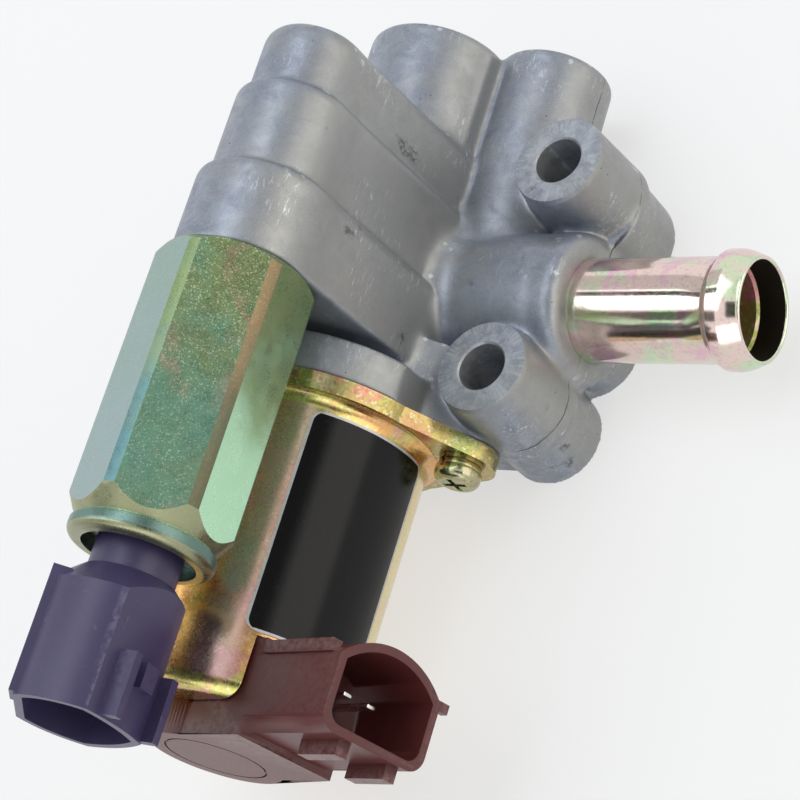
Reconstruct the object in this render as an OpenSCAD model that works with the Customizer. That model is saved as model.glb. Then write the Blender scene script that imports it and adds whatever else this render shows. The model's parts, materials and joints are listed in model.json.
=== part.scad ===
// Idle air control valve: a die-cast housing with a large slotted-can solenoid,
// a smaller hexagonal solenoid above it, a hose nipple and two bolt bosses.
// The mounting face lies at z = 0. The nipple points along +X and both
// solenoids hang along -Y from the housing.

/* [Housing] */
// Distance between the two fixing bolts, measured along the valve
bolt_pitch = 39.2; // [37:0.2:42]
// Diameter of the clearance holes for the fixing bolts
bolt_hole_d = 8.5; // [6.5:0.1:9]
// Diameter of the round bolt bosses at their front faces
boss_d = 16.8; // [15:0.1:18]
// Height of the boss front faces above the mounting face
boss_h = 27; // [25:0.5:30]
// Height of the parting line of the casting
split_z = 13.5; // [13:0.1:14]
// Outside diameter of the cast cylinder round the main valve
main_cyl_d = 25.8; // [25:0.1:27]
// Outside diameter of the blind cylinder beside it
side_cyl_d = 20.6; // [18:0.1:22]
// Outside diameter of the lowest step of the tower
tower_d = 24.2; // [23.6:0.1:25]
// Length of the tower along the valve
tower_len = 43.6; // [42:0.2:46]

/* [Hose nipple] */
// Outside diameter of the hose nipple
nipple_d = 17.6; // [15:0.1:18.4]
// Reach of the nipple from the bolt line
nipple_reach = 39.5; // [34:0.5:46]
// Wall thickness of the nipple
nipple_wall = 1.2; // [0.8:0.1:1.6]

/* [Main solenoid] */
// Outside diameter of the drawn can
can_d = 38.4; // [37.6:0.1:39]
// Length of the can below its flange
can_len = 52; // [50:0.5:56]
// Thickness of the two-bolt flange
flange_t = 3; // [2.5:0.1:4]
// Travel of the main valve from shut to open
main_stroke = 3; // [1:0.5:3]

/* [Second solenoid] */
// Width of the hexagonal body across its flats
hex_af = 24; // [23:0.1:24.2]
// Length of the hexagonal body, crimped rim included
hex_len = 50; // [49:0.5:52]
// Travel of the second valve from shut to open
second_stroke = 1.5; // [0.5:0.25:1.5]

/* [Connectors] */
// Turn of the main connector out of the mounting plane, in degrees
socket_turn = 15; // [12:1:18]
// Reach of the main connector from the solenoid axis
socket_reach = 38; // [34:0.5:42]
// Wall thickness of both connector shells
shell_wall = 1.4; // [1.2:0.1:1.8]

/* [Hidden] */
$fn = 96;

// Axes of the two solenoids and of the nipple
main_x = -32.2;
main_z = 23.7;
second_x = -29.3;
second_z = 59.3;
nipple_y = -1.94;

// Faces along the valve
tower_foot = -20;
tower_top = tower_foot + tower_len;
pad_y = tower_foot - 9;
can_top = pad_y - flange_t;
can_end = can_top - can_len;
main_cyl_end = 44;
side_cyl_end = main_cyl_end + 1.6;
side_x = -13.9;
hex_end = tower_foot - hex_len;

// Bolt centres
bolt_x = 1.45;
bolt_a = [bolt_x, bolt_pitch / 2];
bolt_b = [-bolt_x, -bolt_pitch / 2];

// Two-bolt flange and its screws
flange_r = 22;
ear_r = 6;
ear_reach = 25.1;
ear_turn = -21;
screw_r = 2;
screw_head_r = 4;
screw_len = 13;
screw_hole_depth = 12;
washer_t = 1;

// Edges of the cast base
base_low = pad_y + 3;
base_high = main_cyl_end - 18;
base_far = -36;
base_near = -1;
boss_root_r = boss_d / 2 + 0.9;

// Recess of the nipple and port on the mounting face
nipple_depth = 12;
press_r = nipple_d / 2 - 0.3;
collar_front = 4;
port_x = -28.5;
port_y = 20;
port_r = 5;

// Clearances
nipple_gap = 0.3;
slide_gap = 0.08;
seat_gap = 0.02;
fit_gap = 0.05;

// Can
can_r = can_d / 2;
can_wall = 1.5;
slot_half = 10.8;
slot_from = can_end + 10.7;
label_t = 0.18;

// Gap left between an open plunger and its core
air_gap = 0.2;

// Main valve train, along the main axis
main_seat_y = pad_y + 37;
main_seat_t = 2.5;
main_chamber_r = 9.5;
main_outlet_r = 8.5;
plunger_r = 7.6;
stem_r = 2;
stem_depth = 9;
pocket_r = 4;
pocket = 6;
sleeve_r = plunger_r + slide_gap;
sleeve_wall = 0.5;
bobbin_wall = 1;
cheek_t = 1.5;
plunger_top = pad_y - 1.5;
plunger_len = 19.4;
core_top = plunger_top - plunger_len - main_stroke - air_gap;
block_top = slot_from - 0.3;

// Second valve train, along the second axis
second_seat_y = tower_foot + 19;
second_seat_t = 2;
spigot_r = 8.15;
second_plunger_r = 4.4;
second_core_top = tower_foot - 24;
second_plunger_top = tower_foot + 10;
second_pocket_r = 2.5;
second_pocket = 4;
nose_r = 2;
spigot_len = 11;
hex_floor = 6;
hex_bore_r = hex_af / 2 - 2.3;
coil_top = tower_foot - hex_floor;
coil_low = hex_end + 9;
second_bobbin_wall = 0.9;
second_cheek_t = 1.2;
back_plate_r = hex_af / 2 - 1.5;
back_plate_t = 1.8;

// Main connector
socket_half = 10.6;
socket_top = can_end + 12;
socket_bottom = can_end - 4.4;
socket_root = can_r + 0.3;
plate_t = 5.7;
blade_t = 0.8;
blade_set = 6;

// Second connector
neck_r = 7;
shell_top = hex_end - 4;
shell_len = 23.6;
shell_end = shell_top - shell_len;
shell_turn = -38.5;
shell_cavity = 16;

// Turns the local Z axis along -Y: local x stays X and local y becomes Z
module along_y(x, z, y) {
    translate([x, y, z]) rotate([90, 0, 0]) children();
}

module main_axis(y) {
    along_y(main_x, main_z, y) children();
}

module second_axis(y) {
    along_y(second_x, second_z, y) children();
}

// Local x runs along the main connector, y along the valve
module socket_frame() {
    translate([main_x, 0, main_z]) rotate([0, -socket_turn, 0]) children();
}

// Round bar with a rounded edge at its local z = 0 end, as a half section
module rounded_section(r, h, e) {
    translate([0, e]) square([r, h - e]);
    square([r - e, h]);
    translate([r - e, e]) circle(e);
}

module rounded_bar(r, h, e) {
    rotate_extrude() intersection() {
        rounded_section(r, h, e);
        square([r + 1, h + 1]);
    }
}

// Strip between two circles, bounded by their outer tangents
module tangent_strip(r1, r2, d) {
    a = acos((r1 - r2) / d);
    polygon([[r1 * cos(a), r1 * sin(a)], [d + r2 * cos(a), r2 * sin(a)],
        [d + r2 * cos(a), -r2 * sin(a)], [r1 * cos(a), -r1 * sin(a)]]);
}

// Two opposite ears with the strips that join them to a disc
module eared_arms(e, root_r, h) {
    for (side = [0, 180]) rotate(ear_turn + side) {
        translate([ear_reach, 0, 0]) cylinder(r = e, h = h);
        linear_extrude(height = h) tangent_strip(root_r, e - seat_gap, ear_reach);
    }
}

module at_screws(y) {
    main_axis(y) for (side = [0, 180])
        rotate(ear_turn + side) translate([ear_reach, 0, 0]) children();
}

// Helical spring as a swept polygon, standing on local z = 0
module coil_spring(mean_r, wire_r, h, turns) {
    sides = 6;
    steps = 14;
    rings = turns * steps;
    rise = h - 2 * wire_r;
    points = [for (i = [0:rings], j = [0:sides - 1])
        let (a = 360 * i / steps, b = 360 * j / sides, r = mean_r + wire_r * cos(b))
        [r * cos(a), r * sin(a), wire_r + rise * i / rings + wire_r * sin(b)]];
    skin = [for (i = [0:rings - 1], j = [0:sides - 1])
        let (k = (j + 1) % sides)
        [i * sides + j, i * sides + k, (i + 1) * sides + k, (i + 1) * sides + j]];
    first = [for (j = [0:sides - 1]) sides - 1 - j];
    last = [for (j = [0:sides - 1]) rings * sides + j];
    polyhedron(points, concat(skin, [first, last]));
}

// Housing

// Mounting face: lobes round the bolts and the nipple, and a body with two round corners
module base_outline() {
    lobe_a = [0.6, bolt_a[1] - 2.1];
    lobe_nipple = [1.5, nipple_y - 1.5];
    corner_r = 8;
    corner_x = base_far + corner_r;
    step_x = base_far + 12;
    corner_low = base_low + corner_r;
    corner_high = base_high - corner_r + 2;
    translate(lobe_a) circle(boss_d / 2 + 2.1);
    translate(bolt_b) circle(boss_d / 2 + 0.2);
    translate(lobe_nipple) circle(nipple_d / 2 - 0.3);
    translate([step_x, base_low]) square([base_near - step_x, base_high - base_low]);
    translate([base_far, corner_low]) square([14, corner_high - corner_low]);
    for (y = [corner_low, corner_high]) translate([corner_x, y]) circle(corner_r);
}

module cast_base() {
    linear_extrude(split_z) base_outline();
}

module bolt_boss(p) {
    front_r = boss_d / 2;
    edge = 0.5;
    root_z = split_z - 3;
    translate([p[0], p[1], root_z]) cylinder(r1 = boss_root_r, r2 = front_r, h = boss_h - edge - root_z);
    translate([p[0], p[1], boss_h - edge]) cylinder(r1 = front_r, r2 = front_r - edge, h = edge);
}

// Plan of one tower step: a bar with rounded shoulders, mirrored about its axis
module step_plan(r, h, e) {
    rounded_section(r, h, e);
    mirror([1, 0]) rounded_section(r, h, e);
}

// One step of the tower: a round nose, straight sides, and a near side that leans out below
module tower_step(r, from, h, e) {
    draft = 3.7;
    lean_in = 0.35;
    lean_set = 0.05;
    drop = second_z - main_z;
    translate([0, 0, from]) {
        intersection() {
            rounded_bar(r, h, e);
            translate([-r - 1, 0, -1]) cube([2 * r + 2, r + 1, h + 2]);
        }
        rotate([90, 0, 0]) linear_extrude(height = drop) step_plan(r, h, e);
        translate([-lean_in, 0, lean_set]) rotate(draft) rotate([90, 0, 0])
            linear_extrude(height = drop + 9) rounded_section(r, h - 2 * lean_set, e);
    }
}

module tower() {
    low_r = tower_d / 2;
    middle_y = 12;
    low_y = 28;
    translate([0.3, 0, -0.8]) second_axis(tower_top) {
        tower_step(low_r - 3.2, 0, middle_y + 1, 3);
        tower_step(low_r - 1.7, middle_y, low_y - middle_y + 1, 2);
        tower_step(low_r, low_y, tower_len - low_y, 2);
    }
}

module main_cylinder() {
    r = main_cyl_d / 2;
    edge = 1.2;
    side_low = split_z - 4 - main_z;
    side_high = 3;
    side_end = 12;
    main_axis(main_cyl_end) rounded_bar(r, main_cyl_end - pad_y, edge);
    // Upright side of the cylinder, down to the parting line
    main_axis(main_cyl_end) translate([0, side_low, edge])
        cube([r, side_high - side_low, main_cyl_end - side_end]);
}

module side_cylinder() {
    along_y(side_x, split_z, side_cyl_end) rounded_bar(side_cyl_d / 2, side_cyl_end - nipple_y, 1);
}

// Collar of the nipple, flared by a cast fillet where it meets the tower wall
module nipple_collar() {
    collar_r = 13.1;
    edge = 3;
    fillet = 6;
    straight = 16;
    box = 40;
    translate([collar_front, nipple_y, split_z]) rotate([0, -90, 0])
        rounded_bar(collar_r, collar_front - main_x, edge);
    intersection() {
        translate([collar_front - straight, nipple_y, split_z]) rotate([0, -90, 0]) rotate_extrude() difference() {
            square([collar_r + fillet - 1, fillet]);
            translate([collar_r + fillet, 0]) circle(fillet);
        }
        translate([-box, -box, 1]) cube([box, 2 * box, box]);
    }
}

// Seat for the flange, cut off square beside the tower, with one arm to each screw
module flange_pad() {
    depth = 7;
    arm_depth = 15;
    cut_x = 20;
    arm_root_r = 14;
    main_axis(pad_y + depth) difference() {
        cylinder(r = flange_r - 0.3, h = depth);
        translate([cut_x, -flange_r, -1]) cube([flange_r, 2 * flange_r, depth + 2]);
    }
    main_axis(pad_y + arm_depth) eared_arms(ear_r - 0.2, arm_root_r, arm_depth - seat_gap);
}

module cast_body() {
    cast_base();
    bolt_boss(bolt_a);
    bolt_boss(bolt_b);
    tower();
    main_cylinder();
    side_cylinder();
    nipple_collar();
    flange_pad();
}

module bolt_holes() {
    for (p = [bolt_a, bolt_b]) translate([p[0], p[1], -1]) cylinder(d = bolt_hole_d, h = boss_h + 2);
}

// Bores of the main valve, from the flange seat to the blind end
module main_bores() {
    seat_hole_r = 5.5;
    outlet_end = main_cyl_end - 5;
    ring_groove_r = 12.6;
    ring_groove_t = 1.9;
    main_axis(main_seat_y) cylinder(r = main_chamber_r, h = main_seat_y - pad_y + 1);
    main_axis(main_seat_y + main_seat_t + 1) cylinder(r = seat_hole_r, h = main_seat_t + 2);
    main_axis(outlet_end) cylinder(r = main_outlet_r, h = outlet_end - main_seat_y - main_seat_t);
    // Port down to the mounting face
    translate([port_x, port_y, -1]) cylinder(r = port_r, h = main_z);
    main_axis(pad_y + ring_groove_t) cylinder(r = ring_groove_r, h = ring_groove_t + 1);
}

// Bores of the second valve and the two passages that join it to the main bores
module second_bores() {
    seat_hole_r = 3;
    outlet_r = 4.6;
    outlet_end = tower_top - 5;
    passage_r = 3;
    passage_x = main_x + 1.5;
    second_axis(second_seat_y) cylinder(r = spigot_r + seat_gap, h = second_seat_y - tower_foot + 1);
    second_axis(second_seat_y + second_seat_t + 1) cylinder(r = seat_hole_r, h = second_seat_t + 2);
    second_axis(outlet_end) cylinder(r = outlet_r, h = outlet_end - second_seat_y - second_seat_t);
    for (y = [second_seat_y - 4.5, second_seat_y + 15])
        translate([passage_x, y, main_z]) cylinder(r = passage_r, h = second_z - main_z);
}

// Way in from the nipple, with the recess that the nipple is pressed into
module nipple_bore() {
    far = 50;
    translate([main_x, nipple_y, split_z]) rotate([0, 90, 0]) cylinder(r = nipple_d / 2 - 1.6, h = far);
    translate([-nipple_depth, nipple_y, split_z]) rotate([0, 90, 0])
        cylinder(r = press_r + seat_gap, h = far);
    // Room for the tube where it passes over the base
    translate([collar_front, nipple_y, split_z]) rotate([0, 90, 0])
        cylinder(r = nipple_d / 2 + nipple_gap, h = far);
}

// Tapped holes for the two flange screws
module screw_holes() {
    at_screws(pad_y + screw_hole_depth) cylinder(r = screw_r, h = screw_hole_depth + 1);
}

module housing() {
    color("#8d9096") difference() {
        cast_body();
        bolt_holes();
        main_bores();
        second_bores();
        nipple_bore();
        screw_holes();
    }
}

// Turned tube with a bead for the hose, pressed into the collar up to a small shoulder
module hose_nipple() {
    r = nipple_d / 2;
    len = nipple_depth + nipple_reach;
    bead_r = 5;
    bead_rise = 1.2;
    bead_back = 5;
    color("#b9ad7c") translate([-nipple_depth, nipple_y, split_z]) rotate([0, 90, 0]) rotate_extrude() difference() {
        union() {
            square([press_r, len]);
            translate([0, nipple_depth + collar_front]) square([r, len - nipple_depth - collar_front]);
            translate([r + bead_rise - bead_r, len - bead_back]) circle(bead_r);
        }
        translate([-bead_r, -1]) square([bead_r + r - nipple_wall, len + 2]);
    }
}

// Main solenoid

module solenoid_flange() {
    color("#b59a4a") main_axis(pad_y) difference() {
        union() {
            rotate(90) cylinder(r = flange_r, h = flange_t);
            eared_arms(ear_r, flange_r - 0.6, flange_t);
        }
        translate([0, 0, -1]) cylinder(r = sleeve_r + sleeve_wall + seat_gap, h = flange_t + 2);
        for (side = [0, 180]) rotate(ear_turn + side)
            translate([ear_reach, 0, -1]) cylinder(r = screw_r + 0.25, h = flange_t + 2);
    }
}

// Half section of the drawn can: flared mouth, straight wall, rounded base
module can_section() {
    flare = 2.2;
    edge = 3;
    square([can_r, can_len - edge]);
    square([can_r - edge, can_len]);
    translate([can_r - edge, can_len - edge]) circle(edge);
    difference() {
        square([can_r + flare - 0.4, flare]);
        translate([can_r + flare, flare]) circle(flare);
    }
}

module solenoid_can() {
    color("#a98f4e") difference() {
        main_axis(can_top) rotate_extrude() intersection() {
            can_section();
            square([40, can_len + 1]);
        }
        main_axis(can_top + 1) cylinder(r = can_r - can_wall, h = can_len + 1 - can_wall);
        socket_frame() translate([-7, can_end - 1, -slot_half]) cube([40, slot_from - can_end + 1, 2 * slot_half]);
    }
}

module label() {
    low = slot_from + 0.5;
    high = can_top - 2.4;
    corner = 2;
    half = 11.4;
    turn = 21;
    color("#16161a") intersection() {
        main_axis(high + 1) difference() {
            cylinder(r = can_r + seat_gap + label_t, h = high - low + 2);
            translate([0, 0, -1]) cylinder(r = can_r + seat_gap, h = high - low + 4);
        }
        translate([main_x, 0, main_z]) rotate([0, -turn, 0]) rotate([90, 0, 90])
            linear_extrude(height = 30) rounded_box(low, high, half, corner);
    }
}

// Rectangle from y1 to y2 and from -half to half with round corners
module rounded_box(y1, y2, half, r) {
    translate([y1 + r, -half]) square([y2 - y1 - 2 * r, 2 * half]);
    translate([y1, r - half]) square([y2 - y1, 2 * (half - r)]);
    for (y = [y1 + r, y2 - r], s = [-1, 1]) translate([y, s * (half - r)]) circle(r);
}

// Pan-head screws with a cross slot
module flange_screws() {
    head_h = 2.6;
    slot_w = 0.9;
    slot_len = 4.4;
    color("#b8b28f") at_screws(can_top - washer_t) {
        translate([0, 0, -screw_len]) cylinder(r = screw_r - 0.05, h = screw_len + 1);
        difference() {
            rotate_extrude() intersection() {
                translate([0, head_h]) mirror([0, 1]) rounded_section(screw_head_r, head_h, 1.6);
                square([screw_head_r + 1, head_h]);
            }
            for (turn = [20, 110]) rotate(turn)
                translate([-slot_len / 2, -slot_w / 2, head_h - 1.2]) cube([slot_len, slot_w, 2]);
        }
    }
}

// Split washers under the screw heads
module spring_washers() {
    color("#8f8a68") at_screws(can_top) difference() {
        cylinder(r = screw_head_r - 0.3, h = washer_t);
        translate([0, 0, -1]) cylinder(r = screw_r + 0.2, h = washer_t + 2);
        rotate(140) translate([1, -0.35, -1]) rotate([20, 0, 0]) cube([6, 0.7, 4]);
    }
}

module flange_o_ring() {
    ring_r = 0.93;
    color("#1b1b1b") main_axis(pad_y + ring_r + seat_gap) rotate_extrude() translate([11, 0]) circle(ring_r);
}

// Moulded bobbin between the flange and the connector block
module main_bobbin() {
    in_r = sleeve_r + sleeve_wall + fit_gap;
    out_r = can_r - can_wall - 0.3;
    h = can_top - block_top;
    color("#d8d2c0") main_axis(can_top) rotate_extrude() {
        translate([in_r, 0]) square([bobbin_wall, h]);
        for (z = [0, h - cheek_t]) translate([in_r, z]) square([out_r - in_r, cheek_t]);
    }
}

module main_coil() {
    in_r = sleeve_r + sleeve_wall + bobbin_wall + 2 * fit_gap;
    out_r = can_r - can_wall - 1.6;
    h = can_top - block_top - 2 * cheek_t - 2 * fit_gap;
    color("#9a4a22") main_axis(can_top - cheek_t - fit_gap) difference() {
        cylinder(r = out_r, h = h);
        translate([0, 0, -1]) cylinder(r = in_r, h = h + 2);
    }
}

// Thin tube that the plunger slides in, pressed over the fixed core
module guide_sleeve() {
    h = pad_y - core_top + 6;
    color("#c9b37a") main_axis(pad_y) difference() {
        cylinder(r = sleeve_r + sleeve_wall, h = h);
        translate([0, 0, -1]) cylinder(r = sleeve_r, h = h + 2);
    }
}

module main_core() {
    color("#a8aaad") main_axis(core_top) difference() {
        cylinder(r = sleeve_r - seat_gap, h = core_top - block_top);
        translate([0, 0, -1]) cylinder(r = pocket_r, h = pocket + 1);
    }
}

module main_plunger() {
    color("#b4b6b9") main_axis(plunger_top) difference() {
        cylinder(r = plunger_r, h = plunger_len);
        translate([0, 0, -1]) cylinder(r = stem_r + seat_gap, h = stem_depth + 1);
        translate([0, 0, plunger_len - pocket]) cylinder(r = pocket_r, h = pocket + 1);
    }
}

module main_spring() {
    end_gap = 0.1;
    h = plunger_top - plunger_len - core_top + 2 * pocket;
    color("#8b8d90") main_axis(plunger_top - plunger_len + pocket - end_gap)
        coil_spring(3, 0.4, h - 2 * end_gap, 7);
}

// Stem and valve head in one turned piece, shut against its seat
module main_valve() {
    head_r = 7.4;
    cone_h = 1.6;
    color("#c8a860") main_axis(main_seat_y - seat_gap) {
        cylinder(r1 = 6.1, r2 = head_r, h = cone_h);
        translate([0, 0, cone_h]) cylinder(r = head_r, h = 2);
        cylinder(r = stem_r, h = main_seat_y - plunger_top + stem_depth - 0.1);
    }
}

// Outline of the main connector across its length: flat foot, arched top
module socket_outline(inset) {
    arch_r = 14.6;
    corner = 3;
    intersection() {
        rounded_box(socket_bottom + inset, socket_top + 12, socket_half - inset, corner - inset / 2);
        translate([socket_top - arch_r, 0]) circle(arch_r - inset);
    }
}

module socket_prism(from, to, inset) {
    translate([from, 0, 0]) rotate([90, 0, 90]) linear_extrude(height = to - from) socket_outline(inset);
}

// The two contact blades, or the slots that hold them when gap is above zero
module main_blades(gap) {
    mid = (socket_top + socket_bottom) / 2;
    from = socket_root - 4;
    blade_w = 1.8;
    socket_frame() for (v = [-3.4, 1.6])
        translate([from - gap, mid - blade_t / 2 - gap, v - gap])
            cube([socket_reach - blade_set - from, blade_t + 2 * gap, blade_w + 2 * gap]);
}

module main_connector() {
    arm_half = 10.4;
    arm_u = 18.4;
    block_u = -6.6;
    plate_r = 11.3;
    foot_v = -9.4;
    rib = 1.9;
    rail_w = 2.4;
    rail_len = 9;
    mark_r = 8.7;
    mark_w = 0.35;
    color("#5a2a2e") difference() {
        union() {
            // Closing plate under the can
            main_axis(can_end) cylinder(r = plate_r, h = plate_t);
            socket_frame() {
                translate([0, can_end - plate_t, foot_v]) cube([arm_u, plate_t, arm_half - foot_v]);
                // Block inside the can and the arm that leaves through the slot
                translate([block_u, can_end - 1, -arm_half])
                    cube([arm_u - block_u, block_top - can_end + 1, 2 * arm_half]);
                // Shell, cut back where it passes under the can wall
                intersection() {
                    socket_prism(arm_u - 1, socket_reach, 0);
                    union() {
                        translate([0, socket_bottom - 1, -20]) cube([60, block_top - socket_bottom + 1, 40]);
                        translate([socket_root, socket_bottom, -20]) cube([60, 40, 40]);
                    }
                }
                // Rib along the top of the shell
                translate([socket_root, socket_top - 4.4, socket_half - 1.2])
                    cube([socket_reach - socket_root - 2, rib, rib]);
                // Two locking rails under the shell
                for (v = [-7.4, 2.6]) translate([socket_reach - rail_len - 1.6, socket_bottom - 2.4, v])
                    cube([rail_len, 3.4, rail_w]);
                // Small stop on the far side
                translate([socket_reach - 1.4, socket_top - 5.6, -socket_half - 1.8]) cube([1.4, 1.6, 2.6]);
            }
        }
        socket_frame() socket_prism(socket_root + 1.6, socket_reach + 1, shell_wall);
        main_blades(seat_gap);
        // Round groove in the closing plate
        main_axis(can_end - plate_t + 0.3) difference() {
            cylinder(r = mark_r, h = 1);
            translate([0, 0, -1]) cylinder(r = mark_r - mark_w, h = 3);
        }
    }
}

module main_terminals() {
    color("#c9c9c4") main_blades(0);
}

// Second solenoid

module hex_bar(h) {
    flats_turn = 53;
    rotate(flats_turn + 30) cylinder(r = hex_af / 2 / cos(30), h = h, $fn = 6);
}

// Hexagonal body: spigot, turned hexagon, round end and rolled rim
module hex_body() {
    flats_end = hex_len - 4.2;
    corner_r = hex_af / 2 + 1.3;
    end_r = hex_af / 2 - 0.05;
    cone_h = 2.4;
    rim_len = 9;
    ring_groove = 1.5;
    lip_r = 9.3;
    color("#8f9a5c") second_axis(tower_foot) difference() {
        union() {
            intersection() {
                hex_bar(flats_end);
                union() {
                    cylinder(r1 = corner_r - 1.2, r2 = corner_r, h = 1.2);
                    translate([0, 0, 1.2]) cylinder(r = corner_r, h = flats_end - cone_h - 1.2);
                    translate([0, 0, flats_end - cone_h]) cylinder(r1 = corner_r, r2 = end_r, h = cone_h);
                }
            }
            translate([0, 0, hex_len]) mirror([0, 0, 1]) rounded_bar(end_r, rim_len, 1.6);
            translate([0, 0, -spigot_len]) cylinder(r = spigot_r, h = spigot_len + 1);
        }
        translate([0, 0, -spigot_len - 1]) cylinder(r = second_plunger_r + slide_gap, h = hex_floor + spigot_len + 2);
        translate([0, 0, hex_floor]) cylinder(r = hex_bore_r, h = hex_len - hex_floor - 4);
        translate([0, 0, hex_len - 4 - seat_gap]) cylinder(r = back_plate_r + 0.1, h = back_plate_t + 2 * seat_gap);
        translate([0, 0, hex_len - 4]) cylinder(r = lip_r, h = 5);
        // Line where the rim is rolled in
        translate([0, 0, hex_len - 3]) difference() {
            cylinder(r = end_r + 1, h = 0.5);
            cylinder(r = end_r - 0.3, h = 0.5);
        }
        // Groove of the O-ring
        translate([0, 0, -2]) difference() {
            cylinder(r = spigot_r + 1, h = 2);
            cylinder(r = spigot_r - ring_groove, h = 2);
        }
    }
}

module hex_o_ring() {
    ring_r = 0.72;
    color("#1b1b1b") second_axis(tower_foot + 1) rotate_extrude()
        translate([spigot_r - ring_r - seat_gap, 0]) circle(ring_r);
}

// Steel washer behind the rolled rim
module back_plate() {
    color("#7d7f82") second_axis(hex_end + 4) difference() {
        cylinder(r = back_plate_r, h = back_plate_t);
        translate([0, 0, -1]) cylinder(r = neck_r + 0.1, h = back_plate_t + 2);
    }
}

module second_bobbin() {
    in_r = second_plunger_r + 0.15;
    out_r = hex_bore_r - 0.25;
    h = coil_top - coil_low;
    color("#d8d2c0") second_axis(coil_top) rotate_extrude() {
        translate([in_r, 0]) square([second_bobbin_wall, h]);
        for (z = [0, h - second_cheek_t]) translate([in_r, z]) square([out_r - in_r, second_cheek_t]);
    }
}

module second_coil() {
    in_r = second_plunger_r + 0.15 + second_bobbin_wall + fit_gap;
    out_r = hex_bore_r - 0.6;
    h = coil_top - coil_low - 2 * second_cheek_t - 2 * fit_gap;
    color("#9a4a22") second_axis(coil_top - second_cheek_t - fit_gap) difference() {
        cylinder(r = out_r, h = h);
        translate([0, 0, -1]) cylinder(r = in_r, h = h + 2);
    }
}

module second_core() {
    color("#a8aaad") second_axis(second_core_top) difference() {
        cylinder(r = second_plunger_r + 0.1, h = second_core_top - coil_low);
        translate([0, 0, -1]) cylinder(r = second_pocket_r, h = second_pocket + 1);
    }
}

// Plunger with a thin nose that carries the rubber pad
module second_plunger() {
    h = second_plunger_top - second_core_top - second_stroke - air_gap;
    nose = second_seat_y - second_plunger_top - 1.4;
    color("#b4b6b9") second_axis(second_plunger_top) difference() {
        union() {
            cylinder(r = second_plunger_r, h = h);
            translate([0, 0, -nose]) cylinder(r = nose_r, h = nose + 1);
        }
        translate([0, 0, h - second_pocket]) cylinder(r = second_pocket_r, h = second_pocket + 1);
    }
}

module second_spring() {
    end_gap = 0.1;
    h = second_stroke + air_gap + 2 * second_pocket;
    color("#8b8d90") second_axis(second_core_top + second_stroke + air_gap + second_pocket - end_gap)
        coil_spring(1.9, 0.3, h - 2 * end_gap, 6);
}

module second_valve_pad() {
    pad_t = 3.2;
    skin = 1.2;
    color("#202020") second_axis(second_seat_y - seat_gap) difference() {
        cylinder(r = 4.6, h = pad_t);
        translate([0, 0, skin]) cylinder(r = nose_r + seat_gap, h = pad_t);
    }
}

// Outline of the second connector shell: a lens, blunt at its far edge
module shell_outline(inset) {
    face_r = 28;
    intersection() {
        circle(12.4 - inset);
        translate([-17, -8.9]) circle(face_r - inset);
        translate([-17, 8.9]) circle(face_r - inset);
        translate([inset - 10.2, -20]) square([40, 40]);
    }
}

// The two contact blades, or the slots that hold them when gap is above zero
module second_blades(gap) {
    root_depth = 4;
    blade_w = 2;
    second_axis(shell_end + shell_cavity + root_depth) rotate(shell_turn) for (p = [-3.6, 1.6])
        translate([p - gap, -blade_t / 2 - gap, -gap])
            cube([blade_w + 2 * gap, blade_t + 2 * gap, shell_cavity]);
}

module second_connector() {
    face_turn = 33.5;
    rail_len = 10.2;
    rail_set = 0.3;
    rail_t = 1.6;
    color("#3f3858") difference() {
        second_axis(0) rotate(shell_turn) {
            translate([0, 0, -coil_low]) cylinder(r = 9.2, h = coil_low - hex_end - 4);
            translate([0, 0, -coil_low]) cylinder(r = neck_r, h = coil_low - shell_top + 4);
            // Shell with sloping shoulders
            intersection() {
                translate([0, 0, -shell_top]) linear_extrude(height = shell_top - shell_end) shell_outline(0);
                translate([0, 0, -shell_top]) union() {
                    cylinder(r1 = neck_r + 0.5, r2 = neck_r + 6, h = 5);
                    translate([0, 0, 5]) cylinder(r = 20, h = 30);
                }
            }
            // Side rail
            translate([-10.9, 2, 3 - shell_top]) cube([3, 6, shell_top - shell_end - 3 - rail_set]);
            // Two locking rails on the near face, and the ramp between them
            for (root = [[2.7, 9.4], [8.4, -0.6]]) translate([root[0], root[1], -shell_end - rail_set - rail_len])
                rotate(face_turn) translate([-1, -rail_t / 2, 0]) cube([4.9, rail_t, rail_len]);
            translate([5.4, 4.9, -shell_end - rail_set - rail_len]) rotate(face_turn) translate([0, -2.2, 0]) cube([3, 3.4, 4]);
        }
        second_axis(shell_end + shell_cavity) rotate(shell_turn)
            linear_extrude(height = shell_cavity + 1) shell_outline(shell_wall);
        second_blades(seat_gap);
    }
}

module second_terminals() {
    color("#c9c9c4") second_blades(0);
}

housing();
hose_nipple();
solenoid_flange();
solenoid_can();
label();
flange_screws();
spring_washers();
flange_o_ring();
main_bobbin();
main_coil();
guide_sleeve();
main_core();
main_plunger();
main_spring();
main_valve();
main_connector();
main_terminals();
hex_body();
hex_o_ring();
back_plate();
second_bobbin();
second_coil();
second_core();
second_plunger();
second_spring();
second_valve_pad();
second_connector();
second_terminals();
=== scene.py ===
import json
import math

import bmesh
import bpy
import numpy as np
from mathutils import Matrix, Vector

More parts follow.
